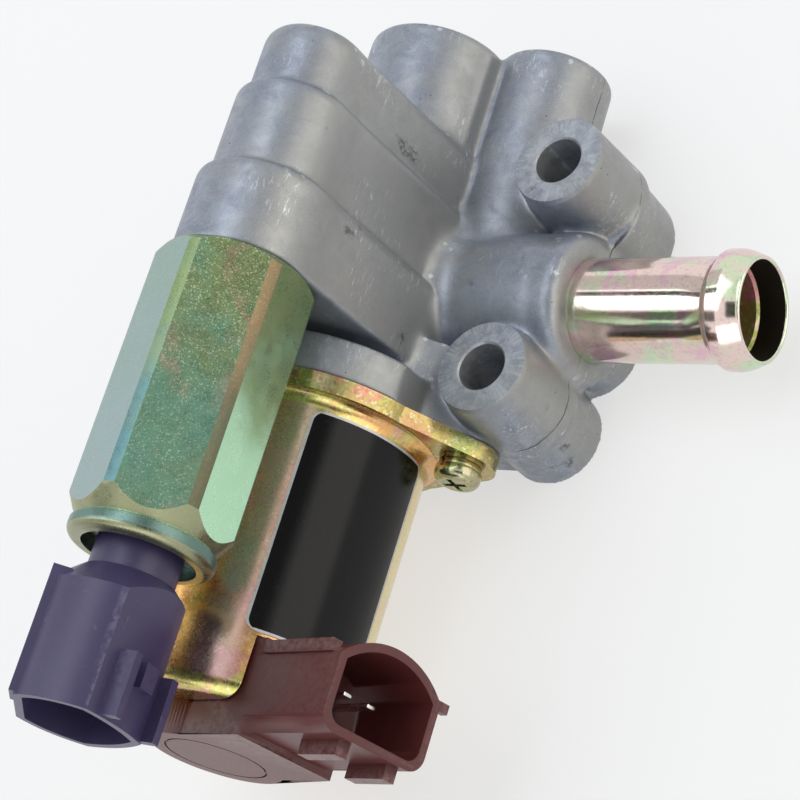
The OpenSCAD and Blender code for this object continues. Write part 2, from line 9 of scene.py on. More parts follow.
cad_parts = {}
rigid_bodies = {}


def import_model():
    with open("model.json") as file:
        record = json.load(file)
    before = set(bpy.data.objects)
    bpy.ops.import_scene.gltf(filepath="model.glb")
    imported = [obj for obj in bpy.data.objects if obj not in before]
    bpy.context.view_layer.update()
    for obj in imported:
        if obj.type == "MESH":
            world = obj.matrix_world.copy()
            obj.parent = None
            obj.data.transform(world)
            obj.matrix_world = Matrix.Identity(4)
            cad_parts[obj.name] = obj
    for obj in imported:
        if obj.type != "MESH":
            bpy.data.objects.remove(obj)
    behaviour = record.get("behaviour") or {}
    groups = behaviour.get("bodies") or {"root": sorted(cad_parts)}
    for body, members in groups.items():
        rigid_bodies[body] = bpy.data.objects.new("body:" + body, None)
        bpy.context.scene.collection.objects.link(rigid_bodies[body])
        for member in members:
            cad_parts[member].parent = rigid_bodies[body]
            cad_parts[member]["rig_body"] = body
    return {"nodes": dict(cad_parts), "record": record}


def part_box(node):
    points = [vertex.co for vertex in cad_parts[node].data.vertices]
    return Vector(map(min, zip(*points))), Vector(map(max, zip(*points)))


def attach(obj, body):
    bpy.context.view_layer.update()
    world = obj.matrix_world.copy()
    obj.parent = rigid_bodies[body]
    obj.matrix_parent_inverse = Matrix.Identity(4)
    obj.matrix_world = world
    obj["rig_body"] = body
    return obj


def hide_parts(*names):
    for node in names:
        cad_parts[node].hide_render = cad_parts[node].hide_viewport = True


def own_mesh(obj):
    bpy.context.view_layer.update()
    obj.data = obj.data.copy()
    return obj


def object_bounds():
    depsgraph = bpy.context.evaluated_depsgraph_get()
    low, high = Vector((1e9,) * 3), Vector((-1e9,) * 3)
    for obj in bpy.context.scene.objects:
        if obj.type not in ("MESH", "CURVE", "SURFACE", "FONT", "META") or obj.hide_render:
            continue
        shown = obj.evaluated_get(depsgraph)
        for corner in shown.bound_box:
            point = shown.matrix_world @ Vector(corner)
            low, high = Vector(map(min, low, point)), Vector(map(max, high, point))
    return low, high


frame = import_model()

bl_info = {
    "name": "Idle air control valve",
    "version": (1, 0, 0),
    "blender": (4, 5, 0),
    "location": "View3D > Sidebar > Valve",
    "description": "Dresses an idle air control valve: casting, plated steel, moulded connectors",
    "category": "Object",
}

MM = 0.001
CAD_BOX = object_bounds()
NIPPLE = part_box("hose_nipple")
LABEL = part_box("label")
HEX_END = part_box("hex_body")[0].y
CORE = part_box("main_core")
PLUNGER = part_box("second_plunger")
MIDDLE = (CAD_BOX[0] + CAD_BOX[1]) / 2

# Axes of the two solenoids and of the nipple
MAIN_X = (CORE[0].x + CORE[1].x) / 2
MAIN_Z = (CORE[0].z + CORE[1].z) / 2
SECOND_X = (PLUNGER[0].x + PLUNGER[1].x) / 2
SECOND_Z = (PLUNGER[0].z + PLUNGER[1].z) / 2
NIPPLE_Y = (NIPPLE[0].y + NIPPLE[1].y) / 2
NIPPLE_Z = (NIPPLE[0].z + NIPPLE[1].z) / 2
NIPPLE_RADIUS = (NIPPLE[1].z - NIPPLE[0].z) / 2

# Points of a CAD mesh that are closer than this become one
WELD = 0.002 * MM

# Edges that turn by more than this stay sharp to the eye
SHARP_TURN = math.radians(32)
SHARP_TURN_CASTING = math.radians(38)
SHARP_TURN_NIPPLE = math.radians(40)

# Ring cut away behind the hexagon's rolled rim: radius and distance from its free end, in mm
NECK_RING = ((13.6, 7.0), (11.35, 3.2), (11.35, 3.0), (12.3, 2.4), (15.0, 2.4), (15.0, 7.0))


class CastingSizes(bpy.types.PropertyGroup):
    """Sizes of the die casting"""

    voxel: bpy.props.FloatProperty(
        name="Cell", description="Cell of the casting's mesh", default=0.34 * MM, unit="LENGTH")
    fillet_passes: bpy.props.IntProperty(
        name="Fillet passes", description="Passes that fill the inner corners", default=38)
    edge_keep: bpy.props.FloatProperty(
        name="Edge rounding", description="Share of each pass that rounds the outer edges",
        default=0.12, subtype="FACTOR")
    triangles: bpy.props.IntProperty(
        name="Triangles", description="Triangles kept after thinning", default=185000)
    boss_height: bpy.props.FloatProperty(
        name="Boss height", description="Height of the machined boss faces",
        default=27 * MM, unit="LENGTH")
    boss_radius: bpy.props.FloatProperty(
        name="Boss radius", description="Radius of the machined boss faces",
        default=7.9 * MM, unit="LENGTH")
    hole_radius: bpy.props.FloatProperty(
        name="Hole radius", description="Radius of the bolt holes",
        default=4.25 * MM, unit="LENGTH")
    collar_front: bpy.props.FloatProperty(
        name="Collar front", description="Place of the nipple collar's front face",
        default=7.7 * MM, unit="LENGTH")
    collar_radius: bpy.props.FloatProperty(
        name="Collar radius", description="Radius of the nipple collar",
        default=13.1 * MM, unit="LENGTH")
    collar_edge: bpy.props.FloatProperty(
        name="Collar edge", description="Rounding of the nipple collar's front edge",
        default=2.4 * MM, unit="LENGTH")


class NippleSizes(bpy.types.PropertyGroup):
    """Sizes of the hose nipple"""

    bead_rise: bpy.props.FloatProperty(
        name="Bead rise", description="Rise of the bead over the tube",
        default=1.2 * MM, unit="LENGTH")
    wall: bpy.props.FloatProperty(
        name="Wall", description="Wall of the tube", default=1.2 * MM, unit="LENGTH")
    bead_place: bpy.props.FloatProperty(
        name="Bead place", description="Distance of the bead's crest from the mouth",
        default=5.4 * MM, unit="LENGTH")
    bead_climb: bpy.props.FloatProperty(
        name="Bead climb", description="Length of the bead's steep side",
        default=1.7 * MM, unit="LENGTH")
    bead_crest: bpy.props.FloatProperty(
        name="Bead crest", description="Length of the bead's crest",
        default=1.7 * MM, unit="LENGTH")
    groove_depth: bpy.props.FloatProperty(
        name="Groove depth", description="Depth of the wider bore behind the mouth",
        default=5.0 * MM, unit="LENGTH")
    shoulder: bpy.props.FloatProperty(
        name="Shoulder", description="Place where the tube meets the collar",
        default=7.7 * MM, unit="LENGTH")


class LabelSizes(bpy.types.PropertyGroup):
    """Sizes of the blank label"""

    turn: bpy.props.FloatProperty(
        name="Turn", description="Turn of the label up from the X axis",
        default=math.radians(21), subtype="ANGLE")
    half_width: bpy.props.FloatProperty(
        name="Half width", description="Half of the label's width",
        default=11.4 * MM, unit="LENGTH")
    corner: bpy.props.FloatProperty(
        name="Corner", description="Corner radius", default=2 * MM, unit="LENGTH")
    border: bpy.props.FloatProperty(
        name="Border", description="Width of the grey border", default=0.45 * MM, unit="LENGTH")
    thickness: bpy.props.FloatProperty(
        name="Thickness", description="Thickness of the foil", default=0.16 * MM, unit="LENGTH")


class FinishColours(bpy.types.PropertyGroup):
    """Colours of the finishes"""

    cast_dark: bpy.props.FloatVectorProperty(
        name="Casting, dark", description="Dark tone of the casting", subtype="COLOR",
        default=(0.205, 0.230, 0.280))
    cast_light: bpy.props.FloatVectorProperty(
        name="Casting, light", description="Light tone of the casting", subtype="COLOR",
        default=(0.345, 0.375, 0.435))
    maroon: bpy.props.FloatVectorProperty(
        name="Main connector", description="Colour of the main connector", subtype="COLOR",
        default=(0.115, 0.027, 0.025))
    purple: bpy.props.FloatVectorProperty(
        name="Second connector", description="Colour of the second connector", subtype="COLOR",
        default=(0.054, 0.043, 0.110))
    label_black: bpy.props.FloatVectorProperty(
        name="Label", description="Colour of the label", subtype="COLOR",
        default=(0.004, 0.004, 0.004))


class StageSettings(bpy.types.PropertyGroup):
    """Light and floor"""

    key: bpy.props.FloatProperty(
        name="Key light", description="Power of the light overhead", default=4.2, subtype="POWER")
    side: bpy.props.FloatProperty(
        name="Side light", description="Power of the warm light beside the nipple",
        default=1.7, subtype="POWER")
    front: bpy.props.FloatProperty(
        name="Front light", description="Power of the light before the connectors",
        default=1.0, subtype="POWER")
    ambient: bpy.props.FloatProperty(
        name="Ambient", description="Strength of the even light all round", default=0.36)
    lens: bpy.props.FloatProperty(
        name="Lens", description="Focal length in millimetres", default=113.3)


GROUPS = (
    ("valve_casting", CastingSizes),
    ("valve_nipple", NippleSizes),
    ("valve_label", LabelSizes),
    ("valve_colours", FinishColours),
    ("valve_stage", StageSettings),
)


# Node building

def fill_inputs(tree, node, inputs):
    """Links each input that comes from a socket, and sets the others."""
    for key, value in inputs.items():
        if isinstance(value, bpy.types.NodeSocket):
            tree.links.new(value, node.inputs[key])
        else:
            node.inputs[key].default_value = value


def make(tree, kind, inputs=None, **settings):
    """Adds a shader node, and sets or links its inputs."""
    node = tree.nodes.new("ShaderNode" + kind)
    for key, value in settings.items():
        setattr(node, key, value)
    fill_inputs(tree, node, inputs or {})
    return node


def math_node(tree, operation, first, second=0.0, clamp=False):
    """Result of one operation on two values."""
    node = make(tree, "Math", {0: first, 1: second}, operation=operation, use_clamp=clamp)
    return node.outputs[0]


def rgba(colour):
    """The colour with full cover."""
    return (*colour, 1.0)


def blend_colour(tree, factor, first, second, mode="MIX"):
    """First colour blended with the second by a factor."""
    node = make(tree, "Mix", {0: factor, 6: first, 7: second}, data_type="RGBA", blend_type=mode)
    return node.outputs[2]


def tint(tree, mask, share, colour, other):
    """Colour that turns to another one by a share of the mask."""
    return blend_colour(tree, math_node(tree, "MULTIPLY", mask, share), colour, rgba(other))


def window(tree, value, low, high, to_low=0.0, to_high=1.0):
    """Smooth step of a value between two limits."""
    node = make(tree, "MapRange", {"Value": value, "From Min": low, "From Max": high,
                                   "To Min": to_low, "To Max": to_high})
    node.interpolation_type = "SMOOTHSTEP"
    return node.outputs["Result"]


def noise(tree, vector, scale, detail=3.0, roughness=0.55, distortion=0.0):
    """Value of a noise texture."""
    node = make(tree, "TexNoise", {"Vector": vector, "Scale": scale, "Detail": detail,
                                   "Roughness": roughness, "Distortion": distortion})
    return node.outputs["Fac"]


def new_group(name, inputs, outputs):
    """Starts a node group; inputs are (name, kind, default) and outputs are (name, kind)."""
    kinds = {"value": "NodeSocketFloat", "colour": "NodeSocketColor", "vector": "NodeSocketVector"}
    tree = bpy.data.node_groups.new(name, "ShaderNodeTree")
    for label, kind, default in inputs:
        socket = tree.interface.new_socket(name=label, in_out="INPUT", socket_type=kinds[kind])
        socket.default_value = default
    for label, kind in outputs:
        tree.interface.new_socket(name=label, in_out="OUTPUT", socket_type=kinds[kind])
    source = tree.nodes.new("NodeGroupInput").outputs
    sink = tree.nodes.new("NodeGroupOutput").inputs
    place = make(tree, "TexCoord").outputs["Object"]
    return tree, source, sink, place


def metal_grain():
    """Fine grain, slow tone drift and small pores of a metal surface."""
    tree, source, sink, place = new_group(
        "Metal grain",
        [("Grain Scale", "value", 2500.0), ("Pore Scale", "value", 700.0),
         ("Pore Share", "value", 0.1)],
        [("Tone", "value"), ("Pores", "value"), ("Height", "value")])
    fine = noise(tree, place, source["Grain Scale"], 3.0, 0.7)
    slow_scale = math_node(tree, "MULTIPLY", source["Grain Scale"], 0.07)
    slow = noise(tree, place, slow_scale, 4.0, 0.6, 0.6)
    warp = make(tree, "TexNoise", {"Vector": place, "Scale": source["Pore Scale"], "Detail": 2.0})
    warped = make(tree, "VectorMath", {0: warp.outputs["Color"], 1: (0.2 * MM,) * 3},
                  operation="MULTIPLY").outputs[0]
    warped = make(tree, "VectorMath", {0: place, 1: warped}).outputs[0]
    pit = make(tree, "TexVoronoi", {"Vector": warped, "Scale": source["Pore Scale"]}).outputs
    lucky = make(tree, "SeparateColor", {0: pit["Color"]}).outputs
    patch_scale = math_node(tree, "MULTIPLY", source["Pore Scale"], 0.16)
    patch = window(tree, noise(tree, place, patch_scale, 2.0), 0.48, 0.62)
    reach = math_node(tree, "MULTIPLY", source["Pore Share"], lucky[0])
    rim = math_node(tree, "ADD", reach, 0.05)
    pores = make(tree, "MapRange", {"Value": pit["Distance"], "From Min": rim, "From Max": reach,
                                    "To Min": 0.0, "To Max": 1.0}).outputs["Result"]
    few = make(tree, "Math", {0: lucky[1], 1: 0.62}, operation="GREATER_THAN").outputs[0]
    pores = math_node(tree, "MULTIPLY", pores, math_node(tree, "MULTIPLY", patch, few), clamp=True)
    tone = math_node(tree, "ADD", math_node(tree, "MULTIPLY", fine, 0.45),
                     math_node(tree, "MULTIPLY", slow, 0.55))
    height = math_node(tree, "SUBTRACT", tone, math_node(tree, "MULTIPLY", pores, 0.9))
    tone = window(tree, tone, 0.30, 0.70)
    for label, value in (("Tone", tone), ("Pores", pores), ("Height", height)):
        tree.links.new(value, sink[label])
    return tree


def passivate_film():
    """Colour drift of a passivated zinc layer, with fine speckle."""
    tree, source, sink, place = new_group(
        "Passivate film",
        [("Main", "colour", rgba((0.5, 0.4, 0.2))), ("Green", "colour", rgba((0.35, 0.42, 0.2))),
         ("Rose", "colour", rgba((0.5, 0.3, 0.35))), ("Pale", "colour", rgba((0.6, 0.62, 0.55))),
         ("Drift Scale", "value", 60.0), ("Speckle Scale", "value", 1800.0),
         ("Speckle", "value", 0.25)],
        [("Color", "colour"), ("Tone", "value"), ("Height", "value")])
    drift = noise(tree, place, source["Drift Scale"], 3.0, 0.55, 0.8)
    second_scale = math_node(tree, "MULTIPLY", source["Drift Scale"], 1.7)
    second = noise(tree, place, second_scale, 3.0, 0.6, 0.5)
    colour = blend_colour(tree, window(tree, drift, 0.42, 0.58), source["Main"], source["Green"])
    colour = blend_colour(tree, window(tree, second, 0.52, 0.66), colour, source["Rose"])
    colour = blend_colour(tree, window(tree, drift, 0.60, 0.72), colour, source["Pale"])
    cells = make(tree, "TexVoronoi", {"Vector": place, "Scale": source["Speckle Scale"]})
    fleck_tone = make(tree, "SeparateColor", {0: cells.outputs["Color"]}).outputs
    share = source["Speckle"]
    bright = math_node(tree, "MULTIPLY", window(tree, fleck_tone[0], 0.80, 1.0), share)
    dark = math_node(tree, "MULTIPLY", window(tree, fleck_tone[1], 0.72, 1.0, 0.0, 0.7), share)
    rosy = math_node(tree, "MULTIPLY", window(tree, fleck_tone[2], 0.5, 1.0, 0.0, 0.5), share)
    colour = blend_colour(tree, rosy, colour, source["Rose"])
    colour = blend_colour(tree, dark, colour, rgba((0.03, 0.04, 0.02)))
    colour = blend_colour(tree, bright, colour, rgba((0.80, 0.84, 0.62)))
    grain = noise(tree, place, source["Speckle Scale"], 2.0, 0.6)
    for label, value in (("Color", colour), ("Tone", grain), ("Height", fleck_tone[1])):
        tree.links.new(value, sink[label])
    return tree


def moulded_skin():
    """Even moulded plastic with fine grain and faint scuffs."""
    tree, source, sink, place = new_group(
        "Moulded skin",
        [("Color", "colour", rgba((0.1, 0.1, 0.1))), ("Scuff", "colour", rgba((0.3, 0.3, 0.3))),
         ("Scuff Share", "value", 0.3), ("Grain Scale", "value", 3000.0)],
        [("Color", "colour"), ("Tone", "value"), ("Height", "value")])
    grain = noise(tree, place, source["Grain Scale"], 2.0, 0.6)
    slow = noise(tree, place, 90.0, 4.0, 0.6, 1.0)
    scratch = noise(tree, place, 420.0, 5.0, 0.75, 2.0)
    scuffs = math_node(tree, "MULTIPLY", window(tree, scratch, 0.58, 0.72), source["Scuff Share"])
    shade = math_node(tree, "ADD", 0.80, math_node(tree, "MULTIPLY", slow, 0.40))
    colour = blend_colour(tree, 1.0, source["Color"], make(
        tree, "CombineColor", {0: shade, 1: shade, 2: shade}).outputs[0], "MULTIPLY")
    colour = blend_colour(tree, scuffs, colour, source["Scuff"])
    tone = math_node(tree, "ADD", math_node(tree, "MULTIPLY", grain, 0.5), scuffs)
    for label, value in (("Color", colour), ("Tone", tone), ("Height", grain)):
        tree.links.new(value, sink[label])
    return tree


def edge_wear_and_corner_shade():
    """Mask of rubbed outer edges, and one of painted shade in the inner corners."""
    tree, source, sink, place = new_group(
        "Worn edge", [("Edge", "value", 0.56), ("Break Scale", "value", 600.0)],
        [("Rubbed", "value"), ("Grimy", "value")])
    point = make(tree, "NewGeometry").outputs["Pointiness"]
    high = math_node(tree, "ADD", source["Edge"], 0.06)
    edge = make(tree, "MapRange", {"Value": point, "From Min": source["Edge"], "From Max": high})
    breaks = window(tree, noise(tree, place, source["Break Scale"], 4.0, 0.7), 0.35, 0.6)
    rubbed = math_node(tree, "MULTIPLY", edge.outputs["Result"], breaks, clamp=True)
    tree.links.new(rubbed, sink["Rubbed"])
    # Painted shade: the inner corners get a mask that darkens them
    tree.links.new(window(tree, point, 0.49, 0.42), sink["Grimy"])
    return tree


def turned_face():
    """Mask of the faces that are turned to a direction of the object."""
    tree, source, sink, place = new_group(
        "Turned face",
        [("Direction", "vector", (0.0, 0.0, 1.0)), ("Low", "value", 0.5), ("High", "value", 1.0)],
        [("Mask", "value")])
    normal = place.node.outputs["Normal"]
    dot = make(tree, "VectorMath", {0: normal, 1: source["Direction"]}, operation="DOT_PRODUCT")
    mask = window(tree, dot.outputs["Value"], source["Low"], source["High"])
    tree.links.new(mask, sink["Mask"])
    return tree


def group_node(tree, name, builder, inputs):
    """Outputs of a shared node group, which is built when it is first asked for."""
    node = tree.nodes.new("ShaderNodeGroup")
    node.node_tree = bpy.data.node_groups.get(name) or builder()
    fill_inputs(tree, node, inputs)
    return node.outputs


def facing(tree, direction, low, high):
    """Mask of the faces that are turned to a direction of the object."""
    return group_node(tree, "Turned face", turned_face, {
        "Direction": direction, "Low": low, "High": high})["Mask"]


def new_material(name):
    """An empty material with its Principled shader."""
    material = bpy.data.materials.new(name)
    material.use_nodes = True
    shader = material.node_tree.nodes["Principled BSDF"]
    return material, material.node_tree, shader


def bump(tree, shader, height, strength, distance):
    """Gives the shader a relief."""
    node = make(tree, "Bump", {"Height": height, "Strength": strength, "Distance": distance})
    tree.links.new(node.outputs["Normal"], shader.inputs["Normal"])


def parting_line(tree, place):
    """Worn line where the two halves of the die met, at the nipple's height."""
    waver, half_width, soft_edge = 1.4 * MM, 0.06 * MM, 0.20 * MM
    height = make(tree, "SeparateXYZ", {0: place}).outputs[2]
    wobble = math_node(tree, "MULTIPLY", noise(tree, place, 160.0, 3.0, 0.6), waver)
    offset = math_node(tree, "SUBTRACT", math_node(tree, "SUBTRACT", height, wobble),
                       NIPPLE_Z - waver / 2)
    line = window(tree, math_node(tree, "ABSOLUTE", offset), soft_edge, half_width)
    worn = window(tree, noise(tree, place, 120.0, 4.0, 0.7), 0.36, 0.54)
    seen = math_node(tree, "MULTIPLY", worn, facing(tree, (1, 0, 0), 0.05, 0.4))
    return math_node(tree, "MULTIPLY", line, seen)


def cast_metal():
    """Die-cast aluminium with drifting tone, flecks, scuffs, smudges, pores, a parting line,
    painted warm light on the side faces and painted shade in the inner corners.
    """
    colours = bpy.context.scene.valve_colours
    material, tree, shader = new_material("Die-cast aluminium")
    grain = group_node(tree, "Metal grain", metal_grain, {
        "Grain Scale": 4200.0, "Pore Scale": 800.0, "Pore Share": 0.10})
    wear_and_shade = group_node(tree, "Worn edge", edge_wear_and_corner_shade, {"Edge": 0.53, "Break Scale": 420.0})
    place = make(tree, "TexCoord").outputs["Object"]
    colour = blend_colour(tree, grain["Tone"], rgba(colours.cast_dark), rgba(colours.cast_light))
    cloud = noise(tree, place, 60.0, 4.0, 0.6, 0.8)
    cloud = window(tree, cloud, 0.42, 0.66, 0.0, 0.35)
    colour = blend_colour(tree, cloud, colour, rgba((0.34, 0.34, 0.32)))
    # Painted warm light: a warmer tone on the faces that are turned to the nipple's side, where the
    # warm side light falls
    side = facing(tree, (1.0, 0.0, 0.1), 0.55, 0.95)
    colour = tint(tree, side, 0.65, colour, (0.365, 0.358, 0.325))
    # Fine bright and dark flecks
    fleck = noise(tree, place, 3000.0, 6.0, 0.8)
    area = window(tree, noise(tree, place, 90.0, 3.0, 0.6), 0.40, 0.62, 0.15, 1.0)
    light_fleck = math_node(tree, "MULTIPLY", window(tree, fleck, 0.56, 0.68), area)
    dark_fleck = math_node(tree, "MULTIPLY", window(tree, fleck, 0.42, 0.33), area)
    colour = tint(tree, light_fleck, 0.55, colour, (0.56, 0.59, 0.64))
    colour = tint(tree, dark_fleck, 0.50, colour, (0.11, 0.115, 0.13))
    # Scuffs and dark smudges
    streak = make(tree, "Mapping", {"Vector": place, "Rotation": (0.3, 0.5, 0.7),
                                    "Scale": (1.0, 0.22, 1.0)})
    scuff = noise(tree, streak.outputs[0], 1500.0, 5.0, 0.75, 0.4)
    scuff_area = window(tree, noise(tree, place, 85.0, 2.0, 0.5), 0.54, 0.66)
    scuff = math_node(tree, "MULTIPLY", window(tree, scuff, 0.55, 0.66), scuff_area)
    colour = tint(tree, scuff, 0.8, colour, (0.68, 0.70, 0.74))
    smudge = window(tree, noise(tree, place, 110.0, 3.0, 0.6, 0.3), 0.66, 0.74)
    broken = window(tree, noise(tree, place, 1300.0, 4.0, 0.7), 0.40, 0.58)
    smudge = math_node(tree, "MULTIPLY", smudge, broken)
    colour = tint(tree, smudge, 0.8, colour, (0.07, 0.07, 0.072))
    # Rubbed edges, painted shade in the inner corners, and dark pores and parting line
    line = parting_line(tree, place)
    colour = blend_colour(tree, wear_and_shade["Rubbed"], colour, rgba((0.60, 0.62, 0.65)))
    colour = tint(tree, wear_and_shade["Grimy"], 0.45, colour, (0.10, 0.10, 0.11))
    marks = math_node(tree, "MAXIMUM", grain["Pores"], line)
    colour = tint(tree, marks, 0.85, colour, (0.05, 0.05, 0.055))
    tree.links.new(colour, shader.inputs["Base Color"])
    rough = window(tree, grain["Tone"], 0.0, 1.0, 0.50, 0.36)
    tree.links.new(math_node(tree, "SUBTRACT", rough, math_node(tree, "MULTIPLY", scuff, 0.12)),
                   shader.inputs["Roughness"])
    shader.inputs["Metallic"].default_value = 0.62
    relief = math_node(tree, "SUBTRACT", grain["Height"], math_node(tree, "MULTIPLY", line, 1.5))
    relief = math_node(tree, "ADD", relief, math_node(tree, "MULTIPLY", fleck, 0.6))
    bump(tree, shader, relief, 0.40, 0.06 * MM)
    return material


def plated_metal(name, main, green, rose, pale, drift, speckle, rough=(0.16, 0.34), reflection_bands=()):
    """Steel with a passivated zinc layer; a painted reflection band is (turn from X in degrees,
    colour, share).
    """
    material, tree, shader = new_material(name)
    film = group_node(tree, "Passivate film", passivate_film, {
        "Main": rgba(main), "Green": rgba(green), "Rose": rgba(rose), "Pale": rgba(pale),
        "Drift Scale": drift, "Speckle Scale": 2200.0, "Speckle": speckle})
    grain = group_node(tree, "Metal grain", metal_grain, {
        "Grain Scale": 1500.0, "Pore Scale": 900.0, "Pore Share": 0.04})
    wear_and_shade = group_node(tree, "Worn edge", edge_wear_and_corner_shade, {"Edge": 0.58, "Break Scale": 700.0})
    colour = film["Color"]
    # Painted reflections: faces turned to each band's angle round the Y axis take its colour
    for turn, reflection_tint, share in reflection_bands:
        direction = (math.cos(math.radians(turn)), 0.0, math.sin(math.radians(turn)))
        colour = tint(tree, facing(tree, direction, 0.965, 0.998), share, colour, reflection_tint)
    colour = blend_colour(tree, wear_and_shade["Rubbed"], colour, rgba((0.75, 0.76, 0.66)))
    tree.links.new(colour, shader.inputs["Base Color"])
    tree.links.new(window(tree, grain["Tone"], 0.0, 1.0, *rough), shader.inputs["Roughness"])
    shader.inputs["Metallic"].default_value = 0.95
    flecks = math_node(tree, "MULTIPLY", film["Height"], speckle)
    height = math_node(tree, "ADD", flecks, grain["Height"])
    bump(tree, shader, height, 0.30, 0.05 * MM)
    return material


# Painted reflections of the hexagon's flats and its free end, one tint for each way a face is
# turned:
# direction, sharpness of the mask, tint near the free end, tint near the housing, share
FLAT_REFLECTION_TINTS = (
    ((-0.391, 0.0, 0.921), 0.985, (0.34, 0.44, 0.46), (0.30, 0.42, 0.40), 0.85),
    ((0.121, 0.0, 0.993), 0.970, (0.17, 0.33, 0.36), (0.31, 0.41, 0.20), 0.90),
    ((0.918, 0.0, 0.396), 0.970, (0.105, 0.085, 0.050), (0.215, 0.140, 0.080), 0.85),
    ((0.993, 0.0, -0.122), 0.985, (0.60, 0.95, 0.66), (0.30, 0.40, 0.18), 0.82),
    ((0.0, -1.0, 0.0), 0.300, (0.36, 0.35, 0.20), (0.36, 0.35, 0.20), 0.80),
)


def hexagon_metal():
    """Green passivated hexagon: each flat gets its own painted reflection tint, and the flats
    sparkle finely.
    """
    material, tree, shader = new_material("Green passivate")
    film = group_node(tree, "Passivate film", passivate_film, {
        "Main": rgba((0.215, 0.290, 0.120)), "Green": rgba((0.170, 0.330, 0.190)),
        "Rose": rgba((0.330, 0.290, 0.170)), "Pale": rgba((0.160, 0.330, 0.320)),
        "Drift Scale": 70.0, "Speckle Scale": 5200.0, "Speckle": 0.62})
    grain = group_node(tree, "Metal grain", metal_grain, {
        "Grain Scale": 3200.0, "Pore Scale": 900.0, "Pore Share": 0.05})
    wear_and_shade = group_node(tree, "Worn edge", edge_wear_and_corner_shade, {"Edge": 0.68, "Break Scale": 700.0})
    colour = film["Color"]
    place = make(tree, "TexCoord").outputs["Object"]
    length = make(tree, "SeparateXYZ", {0: place}).outputs[1]
    waver = 50 * MM
    drift = math_node(tree, "SUBTRACT", noise(tree, place, 90.0, 3.0), 0.5)
    drift = math_node(tree, "ADD", length, math_node(tree, "MULTIPLY", drift, waver))
    along = window(tree, drift, HEX_END + 12 * MM, HEX_END + 42 * MM)
    above_cone = window(tree, length, HEX_END + 3.6 * MM, HEX_END + 3.9 * MM)
    on_rim = window(tree, length, HEX_END + 2.9 * MM, HEX_END + 2.6 * MM)
    near_end = math_node(tree, "SUBTRACT", 1.0, along)
    colour = tint(tree, on_rim, 0.9, colour, (0.150, 0.145, 0.150))
    colour = tint(tree, near_end, 0.5, colour, (0.120, 0.285, 0.235))
    # Painted reflections: each flat, and the free end, tinted by the way it is turned
    for direction, sharp, near, far, share in FLAT_REFLECTION_TINTS:
        mask = math_node(tree, "MULTIPLY", facing(tree, direction, sharp - 0.02, sharp), share)
        if direction[1] == 0:
            mask = math_node(tree, "MULTIPLY", mask, above_cone)
        colour = blend_colour(tree, mask, colour, blend_colour(tree, along, rgba(near), rgba(far)))
    colour = tint(tree, wear_and_shade["Rubbed"], 0.4, colour, (0.50, 0.52, 0.50))
    tree.links.new(colour, shader.inputs["Base Color"])
    tree.links.new(window(tree, grain["Tone"], 0.0, 1.0, 0.24, 0.40), shader.inputs["Roughness"])
    shader.inputs["Metallic"].default_value = 0.9
    flecks = math_node(tree, "MULTIPLY", film["Height"], 0.5)
    height = math_node(tree, "ADD", flecks, grain["Height"])
    bump(tree, shader, height, 0.35, 0.05 * MM)
    return material


def socket_room():
    """Low and high corner of the room inside the main socket."""
    openings = frame["record"]["physics"]["openings"]
    boxes = [o["box_m"] for o in openings if o["name"].startswith("main_socket")]
    corners = np.array(boxes).reshape(-1, 3)
    return corners.min(axis=0).tolist(), corners.max(axis=0).tolist()


def socket_shade(tree):
    """Mask of painted shade in the room inside the main socket, darker away from its mouth."""
    wall, clear = 7.4 * MM, 6.5 * MM
    mouth, dark = 0.5 * MM, 8 * MM
    floor_start, floor_end = 1.5 * MM, 0.5 * MM
    low, high = socket_room()
    place = make(tree, "TexCoord").outputs["Object"]
    along = make(tree, "SeparateXYZ", {0: place}).outputs[0]
    across = make(tree, "VectorMath", {0: place, 1: (0, 1, 1)}, operation="MULTIPLY").outputs[0]
    middle = (0, (low[1] + high[1]) / 2, (low[2] + high[2]) / 2)
    away = make(tree, "VectorMath", {0: across, 1: middle}, operation="DISTANCE").outputs["Value"]
    room_shade = math_node(tree, "MULTIPLY", window(tree, away, wall, clear),
                      window(tree, along, high[0] - mouth, high[0] - dark, 0.0, 0.85))
    return math_node(tree, "MULTIPLY", room_shade,
                     window(tree, along, low[0] - floor_start, low[0] - floor_end))


def moulded_plastic(name, colour, scuff, share, rough=(0.34, 0.52), level=0.5, room_shade=None):
    """Moulded plastic; the last argument makes the mask of a room that gets painted shade inside.
    """
    material, tree, shader = new_material(name)
    shader.inputs["Specular IOR Level"].default_value = level
    skin = group_node(tree, "Moulded skin", moulded_skin, {
        "Color": rgba(colour), "Scuff": rgba(scuff), "Scuff Share": share, "Grain Scale": 2600.0})
    wear_and_shade = group_node(tree, "Worn edge", edge_wear_and_corner_shade, {"Edge": 0.56, "Break Scale": 900.0})
    final = tint(tree, wear_and_shade["Rubbed"], 0.5, skin["Color"], scuff)
    if room_shade:
        # Painted shade: the room inside the socket turns near black
        final = blend_colour(tree, room_shade(tree), final, rgba((0.006, 0.003, 0.003)))
    tree.links.new(final, shader.inputs["Base Color"])
    tree.links.new(window(tree, skin["Tone"], 0.1, 0.7, *rough), shader.inputs["Roughness"])
    bump(tree, shader, skin["Height"], 0.25, 0.04 * MM)
    return material


def plain_metal(name, dark, light, rough=(0.22, 0.42), metallic=1.0):
    """Bare metal with a fine grain between two tones."""
    material, tree, shader = new_material(name)
    grain = group_node(tree, "Metal grain", metal_grain, {
        "Grain Scale": 2200.0, "Pore Scale": 800.0, "Pore Share": 0.03})
    colour = blend_colour(tree, grain["Tone"], rgba(dark), rgba(light))
    tree.links.new(colour, shader.inputs["Base Color"])
    tree.links.new(window(tree, grain["Tone"], 0.0, 1.0, *rough), shader.inputs["Roughness"])
    shader.inputs["Metallic"].default_value = metallic
    bump(tree, shader, grain["Height"], 0.2, 0.04 * MM)
    return material


